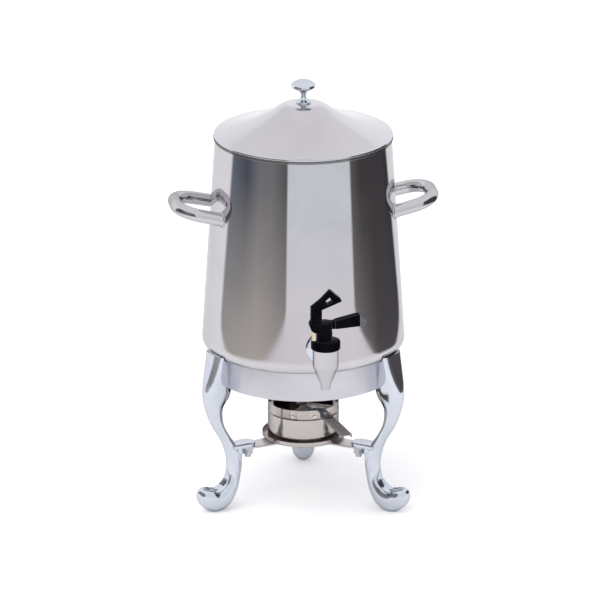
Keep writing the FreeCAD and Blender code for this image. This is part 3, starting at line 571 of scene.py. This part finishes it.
def makeHandles():
    for name, side in (("handle_left", -1), ("handle_right", 1)):
        endZ = handles["wallZ"]
        tipZ = handles["wallZ"] + handles["rise"]
        points = [
            (side * handles["endX"], -handles["halfSpan"], endZ),
            (side * handles["tipX"], -handles["tipHalfSpan"], tipZ),
            (side * handles["tipX"], handles["tipHalfSpan"], tipZ),
            (side * handles["endX"], handles["halfSpan"], endZ),
        ]
        bm = bmesh.new()
        firstRing, lastRing = tubeAlong(bm, points, handles["tubeR"], handles["bendR"], handles["round"])
        rings = []
        for ring, end, before in ((firstRing, points[0], points[1]), (lastRing, points[3], points[2])):
            ontoWall(ring, (Vector(end) - Vector(before)).normalized(), handles["sink"])
            rings.append([v.co.copy() for v in ring])
        loop = newPiece(name + "_tube", bm, "urn", tubeSteel, sharp=60)
        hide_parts(name)
        for k, ring in enumerate(rings):
            curve = bpy.data.curves.new("weld", "CURVE")
            curve.dimensions = "3D"
            curve.bevel_depth = handles["weldR"] * mm
            curve.bevel_resolution = 3
            line = curve.splines.new("POLY")
            line.points.add(len(ring) - 1)
            for point, place in zip(line.points, ring):
                outward = Vector((place.x, place.y, 0)).normalized() * handles["weldOut"] * mm
                point.co = (*(place + outward), 1)
            line.use_cyclic_u = True
            holder = bpy.data.objects.new("weldCurve", curve)
            bpy.context.scene.collection.objects.link(holder)
            bpy.context.view_layer.update()
            mesh = bpy.data.meshes.new_from_object(holder.evaluated_get(bpy.context.evaluated_depsgraph_get()))
            bpy.data.objects.remove(holder)
            bm = bmesh.new()
            bm.from_mesh(mesh)
            newPiece(name + "_weld_" + str(k + 1), bm, "urn", tubeSteel, sharp=80)


makeHandles()
print("handles made")


# Tap

# Outlines hold radius and height; the rosette's hold radius and how far it stands off the wall
tap = {
    "z": 238.0, "y": -176.0, "springTopZ": 261.9, "springKeep": 0.824,
    "body": [(4.0, 201.5), (5.3, 201.5), (5.7, 202.0), (6.0, 205.0), (6.5, 208.0), (14.6, 228.6), (15.6, 230.6),
             (16.0, 232.6), (16.0, 254.6), (13.5, 254.6), (13.5, 262.0), (10.5, 262.0), (10.5, 236.0), (4.0, 236.0)],
    "shank": [(4.5, 14.5), (8.0, 14.5), (8.0, 67.2), (7.2, 68.0), (4.5, 68.0)],
    "rosette": [(8.05, 0.9), (8.05, 7.0), (13.2, 7.0), (14.0, 6.8), (16.9, 5.6), (17.3, 5.0), (17.3, 0.9)],
    "bonnet": [(13.6, 254.7), (17.5, 254.7), (18.3, 255.4), (18.3, 263.8), (17.6, 265.3), (16.1, 266.0),
               (2.56, 266.0), (2.56, 262.0), (13.6, 262.0)],
    "ribs": 40, "ribFromR": 17.9, "ribLow": 255.8, "ribHigh": 264.2, "ribDepth": 0.018,
}


def makeTap():
    bm = bmesh.new()
    spinProfile(bm, tap["body"], 96, centre=(0, tap["y"], 0), closed=True)
    spinProfile(bm, tap["shank"], 64, centre=(0, tap["y"], tap["z"]), axis="Y", closed=True)
    casting = newPiece("tap_casting", bm, "urn", tapPlate, sharp=38)
    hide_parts("tap_body")

    bm = bmesh.new()
    wallY = -wallRadius(tap["z"])
    rosette = [(r, wallY - out) for r, out in tap["rosette"]]
    spinProfile(bm, rosette, 96, centre=(0, 0, tap["z"]), axis="Y", closed=True)
    disc = newPiece("wall_rosette", bm, "urn", chromePlate, sharp=30)
    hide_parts("wall_washer")

    bm = bmesh.new()
    spinProfile(bm, tap["bonnet"], 240, centre=(0, tap["y"], 0), closed=True)
    for v in bm.verts:                     # shallow grip ribs round the cap
        x, y, z = v.co.x / mm, v.co.y / mm - tap["y"], v.co.z / mm
        r = hypot(x, y)
        if r > tap["ribFromR"] and tap["ribLow"] < z < tap["ribHigh"]:
            pull = 1 - tap["ribDepth"] * (0.5 + 0.5 * cos(tap["ribs"] * atan2(y, x)))
            v.co.x = x * pull * mm
            v.co.y = (tap["y"] + y * pull) * mm
    cap = newPiece("bonnet", bm, "urn", blackPlastic, sharp=32)
    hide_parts("bonnet_cap")

    spring = dressedCopy("tap_spring", springWire, bevel=0, flat=0.2)
    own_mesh(spring)
    pieces = [
        casting, cap, spring,
        dressedCopy("tap_yoke", blackPlastic, bevel=0.8, segments=3),
        dressedCopy("tap_lever", blackPlastic, bevel=0.7, segments=3),
        # end cap in grey, a painted reflection
        dressedCopy("lever_end_cap", greyCapPaintedReflection, bevel=1.0, segments=3),
        dressedCopy("pivot_pin", blackPlastic, bevel=0.3),
        dressedCopy("brass_post", brassMetal, bevel=0.2),
    ]
    pieces += [nodes[name] for name in ("valve_stem", "seat_cup", "stem_pin")]
    for piece in pieces:                   # left out of the wall's mirror image, all but the rosette on the wall
        piece.visible_glossy = False


makeTap()
print("tap made")


# Stand ring and legs

stand = {
    "turn": -9.0, "ringR": 114.0, "wall": 1.6, "footZ": 163.0, "seatInnerR": 100.0, "topBend": 2.0, "legGap": 0.9,
    "azimuths": {"leg_left": -60.0, "leg_right": 60.0, "leg_rear": 180.0},
    "vesselCutTop": 230.0, "ringCutTop": 224.0,
}

# Centre radius, height, lean, half thickness, half width outside, half width inside, squareness
legSections = [
    (120.0, 209.0, 0, 13.0, 24.5, 9.0, 0.72), (120.8, 198.0, 0, 14.2, 23.5, 9.0, 0.72),
    (122.6, 183.0, 0, 16.0, 21.0, 9.4, 0.76), (124.0, 167.0, 1, 18.6, 17.6, 9.8, 0.82),
    (126.0, 152.0, 2, 18.2, 14.6, 10.0, 0.90), (129.6, 136.5, 0, 11.9, 11.4, 10.0, 1.0),
    (125.0, 115.0, -20, 7.9, 8.6, 8.4, 1.0), (115.6, 97.0, -29, 6.4, 7.6, 7.6, 1.0),
    (106.6, 80.0, -24, 8.2, 8.6, 8.6, 1.0), (101.2, 62.0, -8, 10.0, 9.4, 9.4, 1.0),
    (103.2, 43.0, 18, 9.8, 9.8, 9.8, 1.0), (108.4, 29.0, 40, 11.6, 12.0, 12.0, 1.0),
    (117.6, 18.4, 62, 15.2, 14.4, 13.6, 1.0), (129.4, 15.2, 90, 16.4, 15.2, 14.0, 1.0),
    (139.6, 20.6, 118, 14.6, 14.0, 13.4, 1.0), (146.2, 26.0, 132, 10.4, 10.6, 10.4, 1.0),
    (150.0, 29.6, 138, 4.8, 5.2, 5.2, 1.0),
]
spoon = {"centre": (129.6, 0.0, 42.0), "radius": 20.4, "narrowing": 0.72, "soft": 1.1, "topZ": 60.0}
lug = {
    "low": 79.0, "high": 84.0, "centreR": 83.0, "noseR": 11.0, "rootR": 106.0, "bevel": 0.9, "webHalfW": 6.5,
    "web": [(91.5, 80), (91.5, 72), (93.6, 60), (101, 52), (106, 60), (108, 80)],
}


def makeRing():
    top = vessel["seatZ"]
    out, wall, inner, foot = stand["ringR"], stand["wall"], stand["seatInnerR"], stand["footZ"]
    line = roundedLine([(out, foot + 2), (out, top), (inner + 4, top)], stand["topBend"], 8)
    line += roundedLine([
        (inner + 4, top), (inner, top), (inner, top - wall), (out - wall, top - wall),
        (out - wall, foot), (out, foot), (out, foot + 2),
    ], 0.7, 4)[1:-1]
    bm = bmesh.new()
    spinProfile(bm, line, 256, closed=True)
    band = newPiece("stand_band", bm, "stand", satinBand)
    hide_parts("ring_band")


# Cuts one closed shape out of another, and hands back the rest
def carved(bm, cutter):
    holders = []
    for shape in (bm, cutter):
        bmesh.ops.recalc_face_normals(shape, faces=shape.faces)
        mesh = bpy.data.meshes.new("carving")
        shape.to_mesh(mesh)
        shape.free()
        holder = bpy.data.objects.new("carving", mesh)
        bpy.context.scene.collection.objects.link(holder)
        holders.append(holder)
    cut = holders[0].modifiers.new("cut", "BOOLEAN")
    cut.operation = "DIFFERENCE"
    cut.solver = "EXACT"
    cut.object = holders[1]
    bpy.context.view_layer.update()
    rest = bpy.data.meshes.new_from_object(holders[0].evaluated_get(bpy.context.evaluated_depsgraph_get()))
    out = bmesh.new()
    out.from_mesh(rest)
    for holder in holders:
        bpy.data.objects.remove(holder)
    bpy.data.meshes.remove(rest)
    return out


# The swept limb with its sections, from the shield at the top to the tip of the foot
def limbForm():
    bm = bmesh.new()
    around = 72
    rings = []
    for radius, z, lean, halfT, outerW, innerW, square in smoothLine(legSections, 9):
        ring = bmesh.ops.create_circle(bm, cap_ends=False, segments=around, radius=1.0)["verts"]
        out = Vector((cos(radians(lean)), 0, sin(radians(lean))))
        for k, v in enumerate(ring):
            angle = 2 * pi * k / around
            c, s = cos(angle), sin(angle)
            n = halfT * abs(c) ** square * (1 if c > 0 else -1)
            share = (1 + n / halfT) / 2
            width = outerW * share + innerW * (1 - share)
            t = width * abs(s) ** square * (1 if s > 0 else -1)
            v.co = (Vector((radius, 0, z)) + out * n + Vector((0, 1, 0)) * t) * mm
        rings.append(ring)
    loops = []
    for ring in rings:
        inRing = set(ring)
        loops.append([e for v in ring for e in v.link_edges if e.verts[0] in inRing and e.verts[1] in inRing])
    for a, b in zip(loops, loops[1:]):
        bmesh.ops.bridge_loops(bm, edges=list(set(a) | set(b)))
    bm.faces.new(rings[0])
    tip = bmesh.ops.extrude_edge_only(bm, edges=list(set(loops[-1])))
    end = [g for g in tip["geom"] if isinstance(g, bmesh.types.BMVert)]
    last = legSections[-1]
    bmesh.ops.pointmerge(bm, verts=end, merge_co=Vector((last[0] + 1.8, 0, last[1] + 2.0)) * mm)
    return bm


# Presses the spoon's hollow into the foot, with a softly rounded rim
def hollowFoot(bm):
    centre = Vector(spoon["centre"])
    soft = spoon["soft"]
    for v in bm.verts:
        away = v.co / mm - centre
        away.y /= spoon["narrowing"]
        deep = spoon["radius"] - away.length
        if deep < -soft or v.co.z > spoon["topZ"] * mm:
            continue
        push = deep if deep > soft else (deep + soft) ** 2 / (4 * soft)
        away *= (away.length + push) / away.length
        away.y *= spoon["narrowing"]
        v.co = (centre + away) * mm


# A closed turned shape to cut with
def turnedCutter(profile):
    cutter = bmesh.new()
    spinProfile(cutter, profile, 256)
    bmesh.ops.remove_doubles(cutter, verts=cutter.verts, dist=0.002 * mm)
    return cutter


# The eye that the tray arm is bolted under, and the web that carries it
def addLug(bm):
    nose = [pi / 2 + pi * k / 16 for k in range(17)]
    outline = [(lug["centreR"] + lug["noseR"] * cos(a), lug["noseR"] * sin(a)) for a in nose]
    outline += [(lug["rootR"], -lug["noseR"]), (lug["rootR"], lug["noseR"])]
    verts = [bm.verts.new((x * mm, y * mm, lug["low"] * mm)) for x, y in outline]
    grown = bmesh.ops.extrude_face_region(bm, geom=[bm.faces.new(verts)])["geom"]
    lifted = [g for g in grown if isinstance(g, bmesh.types.BMVert)]
    bmesh.ops.translate(bm, verts=lifted, vec=(0, 0, (lug["high"] - lug["low"]) * mm))
    rims = [e for e in bm.edges if (e.verts[0] in lifted and e.verts[1] in lifted)
            or (e.verts[0] in verts and e.verts[1] in verts)]
    bmesh.ops.bevel(bm, geom=rims, offset=lug["bevel"] * mm, segments=3, profile=0.5, affect="EDGES",
                    clamp_overlap=True, material=-1)
    plateOutline(bm, lug["web"], -lug["webHalfW"], lug["webHalfW"], 1.6, 3)


def makeLegForm():
    bm = limbForm()
    hollowFoot(bm)
    for v in bm.verts:
        v.co.z = max(v.co.z, 0)
    midZ = vessel["seatZ"] + vessel["cornerR"]
    radius = vessel["cornerR"] + stand["legGap"]
    steps = [pi / 2 * k / 24 for k in range(25)]
    arc = [(vessel["cornerCentreR"] + radius * sin(a), midZ - radius * cos(a)) for a in steps]
    high = stand["vesselCutTop"]
    bm = carved(bm, turnedCutter([(0, midZ - radius)] + arc + [(arc[-1][0], high), (0, high)]))
    out, foot, high = stand["ringR"], stand["footZ"], stand["ringCutTop"]
    bm = carved(bm, turnedCutter([(0, foot), (out, foot), (out, high), (0, high)]))
    addLug(bm)
    mesh = bpy.data.meshes.new("leg form")
    bm.to_mesh(mesh)
    bm.free()
    return mesh


def makeLegs():
    form = makeLegForm()
    for name, azimuth in stand["azimuths"].items():
        bm = bmesh.new()
        bm.from_mesh(form)
        turnAbout(bm, bm.verts, azimuth)
        leg = newPiece(name + "_casting", bm, "stand", chromePlate, sharp=42)
        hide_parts(name)
        dressedCopy(name.replace("leg", "tray_arm"), armSteel, bevel=0.5, segments=2)


makeRing()
makeLegs()
print("stand made")


# Tray and burner

burner = {
    "floor": 79.0, "trayR": 52.0, "trayH": 6.0, "trayWall": 1.2, "flatR": 30.0,
    "potR": 45.0, "potWall": 0.9, "shoulder": 112.6, "neckStep": 1.3, "neckZ": 119.0,
}


def makeBurner():
    floor, flat, wall = burner["floor"], burner["flatR"], burner["trayWall"]
    out, lipZ = burner["trayR"], floor + burner["trayH"]
    bm = bmesh.new()
    line = roundedLine([(0, floor), (flat, floor), (out, floor), (out, lipZ)], 1.8, 6)
    lip = [(out - 0.2, lipZ), (out - 0.6, lipZ), (out - wall, lipZ - 0.6)]
    back = roundedLine([
        (out - wall, lipZ - 0.6), (out - wall, floor + wall), (flat, floor + wall), (0, floor + wall),
    ], 1.4, 6)
    spinProfile(bm, line + lip + back[1:], 160)
    dish = newPiece("tray_dish", bm, "stand", burnerSteel, sharp=50)
    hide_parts("burner_tray")

    low = floor + wall
    wall, potR, neckZ, shoulder = burner["potWall"], burner["potR"], burner["neckZ"], burner["shoulder"]
    neck = potR - burner["neckStep"]
    bm = bmesh.new()
    outside = roundedLine([
        (0, low), (flat, low), (potR, low), (potR, shoulder), (neck, shoulder), (neck, neckZ),
    ], 1.4, 5)
    inside = roundedLine([
        (neck - wall, neckZ), (neck - wall, shoulder - 1.6), (potR - wall, shoulder - 2.4),
        (potR - wall, low + wall), (flat, low + wall), (0, low + wall),
    ], 1.2, 4)
    spinProfile(bm, outside + inside, 160)
    pot = newPiece("fuel_pot", bm, "burner", burnerSteel, sharp=40)
    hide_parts("burner_pot")


makeBurner()
dressedCopy("burner_collar", burnerSteel, bevel=0.2, sharp=30)
dressedCopy("flame_shutter", burnerSteel, bevel=0.2)
dressedCopy("shutter_strap", strapSteel, bevel=0.3)
dressedCopy("strap_grip", strapSteel, bevel=0.35)
dressedCopy("strap_rivets", zincSteel, bevel=0.4, segments=3)
dressedCopy("centre_rivet", zincSteel, bevel=0.4, segments=3)
dressedCopy("collar_screw", zincSteel, bevel=0.3)
dressedCopy("brass_stop", brassMetal, bevel=0.3)
print("burner made")


# The CAD pieces that stay

steelNodes = (
    "leg_screws", "leg_washers", "lug_studs", "lug_washers", "lug_nuts", "knob_washer", "knob_screw", "lock_nut",
    "valve_stem", "stem_pin",
)
rubberNodes = ("outer_gasket", "inner_gasket", "seat_cup")
for finish, names in ((zincSteel, steelNodes), (blackRubber, rubberNodes)):
    for name in names:
        data = nodes[name].data
        data.materials.clear()
        data.materials.append(finish)


# Studio

studio = {
    "cameraAzimuth": -9.0, "cameraElevation": 18.94, "cameraDistance": 9.0, "lens": 428.6,
    "aimZ": 0.25835, "aimLeft": 0.0042, "worldStrength": 1.0, "floorColour": (0.93, 0.93, 0.93), "floorLift": 0.16,
    "keySize": 2.4, "keyEnergy": 26, "keyBack": 1.2, "keyLeft": 0.8, "keyZ": 2.4, "keyAimZ": 0.3,
}


def cameraDirection():
    a = radians(studio["cameraAzimuth"])
    e = radians(studio["cameraElevation"])
    return Vector((sin(a) * cos(e), -cos(a) * cos(e), sin(e))), Vector((cos(a), sin(a), 0))


def makeCamera():
    back, right = cameraDirection()
    data = bpy.data.cameras.new("camera")
    data.lens = studio["lens"]
    data.sensor_width = 36
    data.clip_end = 60
    camera = bpy.data.objects.new("camera", data)
    aim = Vector((0, 0, studio["aimZ"])) - right * studio["aimLeft"]
    camera.location = aim + back * studio["cameraDistance"]
    camera.rotation_mode = "QUATERNION"
    camera.rotation_quaternion = (-back).to_track_quat("-Z", "Y")
    bpy.context.scene.collection.objects.link(camera)
    bpy.context.scene.camera = camera


def makeFloor():
    bm = bmesh.new()
    bmesh.ops.create_grid(bm, x_segments=1, y_segments=1, size=14)
    mesh = bpy.data.meshes.new("floor")
    bm.to_mesh(mesh)
    bm.free()
    floor = bpy.data.objects.new("floor", mesh)
    bpy.context.scene.collection.objects.link(floor)
    material = bpy.data.materials.new("pale floor")
    material.use_nodes = True
    shader = material.node_tree.nodes["Principled BSDF"]
    shader.inputs["Base Color"].default_value = (*studio["floorColour"], 1)
    shader.inputs["Roughness"].default_value = 0.9
    shader.inputs["Specular IOR Level"].default_value = 0
    tree = material.node_tree
    direct = tree.nodes.new("ShaderNodeLightPath")
    paper = tree.nodes.new("ShaderNodeBsdfDiffuse")
    paper.inputs["Color"].default_value = (1, 1, 1, 1)
    lift = tree.nodes.new("ShaderNodeEmission")
    lift.inputs["Strength"].default_value = studio["floorLift"]
    both = tree.nodes.new("ShaderNodeAddShader")
    choose = tree.nodes.new("ShaderNodeMixShader")
    link = tree.links.new
    link(paper.outputs[0], both.inputs[0])
    link(lift.outputs[0], both.inputs[1])
    link(direct.outputs["Is Camera Ray"], choose.inputs[0])
    link(shader.outputs[0], choose.inputs[1])
    link(both.outputs[0], choose.inputs[2])
    link(choose.outputs[0], tree.nodes["Material Output"].inputs["Surface"])
    mesh.materials.append(material)


# What the polished wall mirrors: a ring of pale and dark cards in metres, seen only by reflections.
# Angle is counted in degrees from the camera towards its right, and tones are as the steel shows them.
cards = {
    "height": 0.9, "facets": 72, "nearest": 0.55, "junction": 0.2165, "flattest": 150, "steel": 0.655,
    "lowTop": 0.09, "highFrom": 0.03, "highSpan": 0.24,
    "left": {"inner": -18, "outer": -107, "spread": 1.6, "sign": -1, "tilt": 27},
    "right": {"inner": 57, "outer": 144, "spread": 2.2, "sign": 1, "tilt": 55},
    "innerShift": 30, "innerPower": 1.6, "outerShift": 25, "outerPower": 4,
    "paleMiddle": 20, "paleHalf": 85, "paleFade": 30,
}
# Far edge, a slate streak, an even middle, and the darker edge near the camera
leftHigh = [(-106, (0.39, 0.42, 0.46)), (-71, (0.27, 0.29, 0.33)), (-54, (0.42, 0.42, 0.43)), (-38, (0.42, 0.42, 0.43)),
            (-18, (0.30, 0.30, 0.30))]
leftLow = [(-106, (0.57, 0.56, 0.55)), (-54, (0.64, 0.62, 0.60)), (-18, (0.56, 0.54, 0.53))]
# Near edge, an even middle, and the almost black far edge
rightHigh = [(57, (0.34, 0.33, 0.32)), (72, (0.23, 0.22, 0.23)), (112, (0.23, 0.22, 0.23)), (143, (0.14, 0.13, 0.15))]
rightLow = [(57, (0.45, 0.44, 0.43)), (90, (0.28, 0.27, 0.28))]
pale = {
    "high": (0.75, 0.77, 0.79), "low": (0.80, 0.78, 0.80),
    "edgeHigh": (0.85, 0.85, 0.86), "edgeLow": (0.84, 0.84, 0.85),
}


def linear(colour, gain=1.0):
    return (*((c / 12.92 if c <= 0.04045 else ((c + 0.055) / 1.055) ** 2.4) * gain for c in colour), 1)


# How steeply the wall's reflection runs down to the floor, for a card at that angle
def reflectedDrop(angle):
    lean = atan(vessel["taper"])
    e = radians(studio["cameraElevation"])
    half = radians(angle) / 2
    view = Vector((0, -cos(e), -sin(e)))
    normal = Vector((sin(half) * cos(lean), cos(half) * cos(lean), sin(lean)))
    bounce = view - 2 * view.dot(normal) * normal
    return -bounce.z / hypot(bounce.x, bounce.y)


def makeCards():
    back, right = cameraDirection()
    forward = Vector((back.x, back.y, 0)).normalized()
    bm = bmesh.new()
    verts = []
    count = cards["facets"]
    for k in range(count):
        angle = -180 + 360 / count * k
        reach = max(cards["nearest"], cards["junction"] / reflectedDrop(min(abs(angle), cards["flattest"])))
        place = forward * cos(radians(angle)) * reach + right * sin(radians(angle)) * reach
        verts.append(bm.verts.new(place))
    edges = [bm.edges.new((verts[k], verts[(k + 1) % count])) for k in range(count)]
    grown = bmesh.ops.extrude_edge_only(bm, edges=edges)["geom"]
    top = [g for g in grown if isinstance(g, bmesh.types.BMVert)]
    bmesh.ops.translate(bm, verts=top, vec=(0, 0, cards["height"]))
    mesh = bpy.data.meshes.new("studio_cards")
    bm.to_mesh(mesh)
    bm.free()
    ring = bpy.data.objects.new("studio_cards", mesh)
    bpy.context.scene.collection.objects.link(ring)
    mesh.materials.append(cardMaterial(forward, right))
    for kind in ("camera", "diffuse", "shadow", "transmission", "volume_scatter"):
        setattr(ring, "visible_" + kind, False)


def cardMaterial(forward, right):
    material = bpy.data.materials.new("studio cards")
    material.use_nodes = True
    tree = material.node_tree
    tree.nodes.clear()
    put = tree.nodes.new
    link = tree.links.new

    def maths(kind, a, b=None, c=None, clamp=False):
        node = put("ShaderNodeMath")
        node.operation = kind
        node.use_clamp = clamp
        for slotIndex, value in enumerate((a, b, c)):
            if value is None:
                continue
            if isinstance(value, (int, float)):
                node.inputs[slotIndex].default_value = value
            else:
                link(value, node.inputs[slotIndex])
        return node.outputs[0]

    def rampOf(value, stops, low, high):
        node = put("ShaderNodeValToRGB")
        link(maths("DIVIDE", maths("SUBTRACT", value, low), high - low), node.inputs[0])
        ramp = node.color_ramp
        while len(ramp.elements) < len(stops):
            ramp.elements.new(0.5)
        for element, (at, colour) in zip(ramp.elements, stops):
            element.position = (at - low) / (high - low)
            element.color = linear(colour, 1 / cards["steel"])
        return node.outputs[0]

    def blendOf(share, a, b):
        node = put("ShaderNodeMix")
        node.data_type = "RGBA"
        for index, value in ((0, share), (6, a), (7, b)):
            if hasattr(value, "links"):
                link(value, node.inputs[index])
            else:
                node.inputs[index].default_value = value
        return node.outputs[2]

    def dots(axis, where):
        node = put("ShaderNodeVectorMath")
        node.operation = "DOT_PRODUCT"
        link(where, node.inputs[0])
        node.inputs[1].default_value = axis
        return node.outputs["Value"]

    where = put("ShaderNodeTexCoord").outputs["Object"]
    angle = maths("MULTIPLY", maths("ARCTAN2", dots(right, where), dots(forward, where)), 180 / pi)
    height = dots((0, 0, 1), where)
    low = maths("DIVIDE", maths("SUBTRACT", cards["lowTop"], height), cards["lowTop"], clamp=True)
    high = maths("DIVIDE", maths("SUBTRACT", height, cards["highFrom"]), cards["highSpan"], clamp=True)

    # 1 on the card. Near the floor both its edges round inwards, and its outer edge leans with height
    def edgeMask(inner, outer, spread, sign, tilt):
        shift = maths("MULTIPLY", maths("POWER", low, cards["innerPower"]), sign * cards["innerShift"])
        start = maths("ADD", inner, shift)
        fromInner = maths("DIVIDE", maths("MULTIPLY", maths("SUBTRACT", angle, start), sign), spread, clamp=True)
        rounding = maths("MULTIPLY", maths("POWER", low, cards["outerPower"]), sign * cards["outerShift"])
        stop = maths("SUBTRACT", maths("SUBTRACT", outer, rounding), maths("MULTIPLY", height, sign * tilt))
        toOuter = maths("DIVIDE", maths("MULTIPLY", maths("SUBTRACT", stop, angle), sign), spread * 2.5, clamp=True)
        return maths("MULTIPLY", fromInner, toOuter)

    leftMask = edgeMask(**cards["left"])
    rightMask = edgeMask(**cards["right"])
    leftSide = blendOf(high, rampOf(angle, leftLow, -120, 0), rampOf(angle, leftHigh, -120, 0))
    rightSide = blendOf(high, rampOf(angle, rightLow, 40, 160), rampOf(angle, rightHigh, 40, 160))
    gain = 1 / cards["steel"]
    offMiddle = maths("ABSOLUTE", maths("SUBTRACT", angle, cards["paleMiddle"]))
    outward = maths("DIVIDE", maths("SUBTRACT", offMiddle, cards["paleHalf"]), cards["paleFade"], clamp=True)
    centre = blendOf(high, linear(pale["low"], gain), linear(pale["high"], gain))
    sides = blendOf(high, linear(pale["edgeLow"], gain), linear(pale["edgeHigh"], gain))
    colour = blendOf(rightMask, blendOf(leftMask, blendOf(outward, centre, sides), leftSide), rightSide)
    glow = put("ShaderNodeEmission")
    link(colour, glow.inputs["Color"])
    link(glow.outputs[0], put("ShaderNodeOutputMaterial").inputs["Surface"])
    return material


def makeLight():
    world = bpy.data.worlds.new("soft studio")
    bpy.context.scene.world = world
    world.use_nodes = True
    tree = world.node_tree
    tree.nodes.clear()
    put = tree.nodes.new
    link = tree.links.new
    where = put("ShaderNodeTexCoord")
    split = put("ShaderNodeSeparateXYZ")
    ramp = put("ShaderNodeValToRGB")
    ramp.color_ramp.elements[0].position = 0.0
    ramp.color_ramp.elements[0].color = (0.92, 0.93, 0.95, 1)
    ramp.color_ramp.elements[1].position = 1.0
    ramp.color_ramp.elements[1].color = (0.95, 0.94, 0.97, 1)
    glow = put("ShaderNodeBackground")
    glow.inputs["Strength"].default_value = studio["worldStrength"]
    plain = put("ShaderNodeBackground")
    plain.inputs["Color"].default_value = (1, 1, 1, 1)
    plain.inputs["Strength"].default_value = 1.0
    path = put("ShaderNodeLightPath")
    mix = put("ShaderNodeMixShader")
    link(where.outputs["Generated"], split.inputs[0])
    link(split.outputs["Z"], ramp.inputs[0])
    link(ramp.outputs[0], glow.inputs["Color"])
    link(path.outputs["Is Camera Ray"], mix.inputs[0])
    link(glow.outputs[0], mix.inputs[1])
    link(plain.outputs[0], mix.inputs[2])
    link(mix.outputs[0], put("ShaderNodeOutputWorld").inputs["Surface"])

    back, right = cameraDirection()
    key = bpy.data.lights.new("overhead softbox", "AREA")
    key.shape = "DISK"
    key.size = studio["keySize"]
    key.energy = studio["keyEnergy"]
    lamp = bpy.data.objects.new("overhead softbox", key)
    lamp.location = back * studio["keyBack"] - right * studio["keyLeft"] + Vector((0, 0, studio["keyZ"]))
    toAim = Vector((0, 0, studio["keyAimZ"])) - lamp.location
    lamp.rotation_euler = toAim.to_track_quat("-Z", "Y").to_euler()
    lamp.visible_glossy = False
    bpy.context.scene.collection.objects.link(lamp)


makeCamera()
makeFloor()
makeCards()
makeLight()
print("studio made")
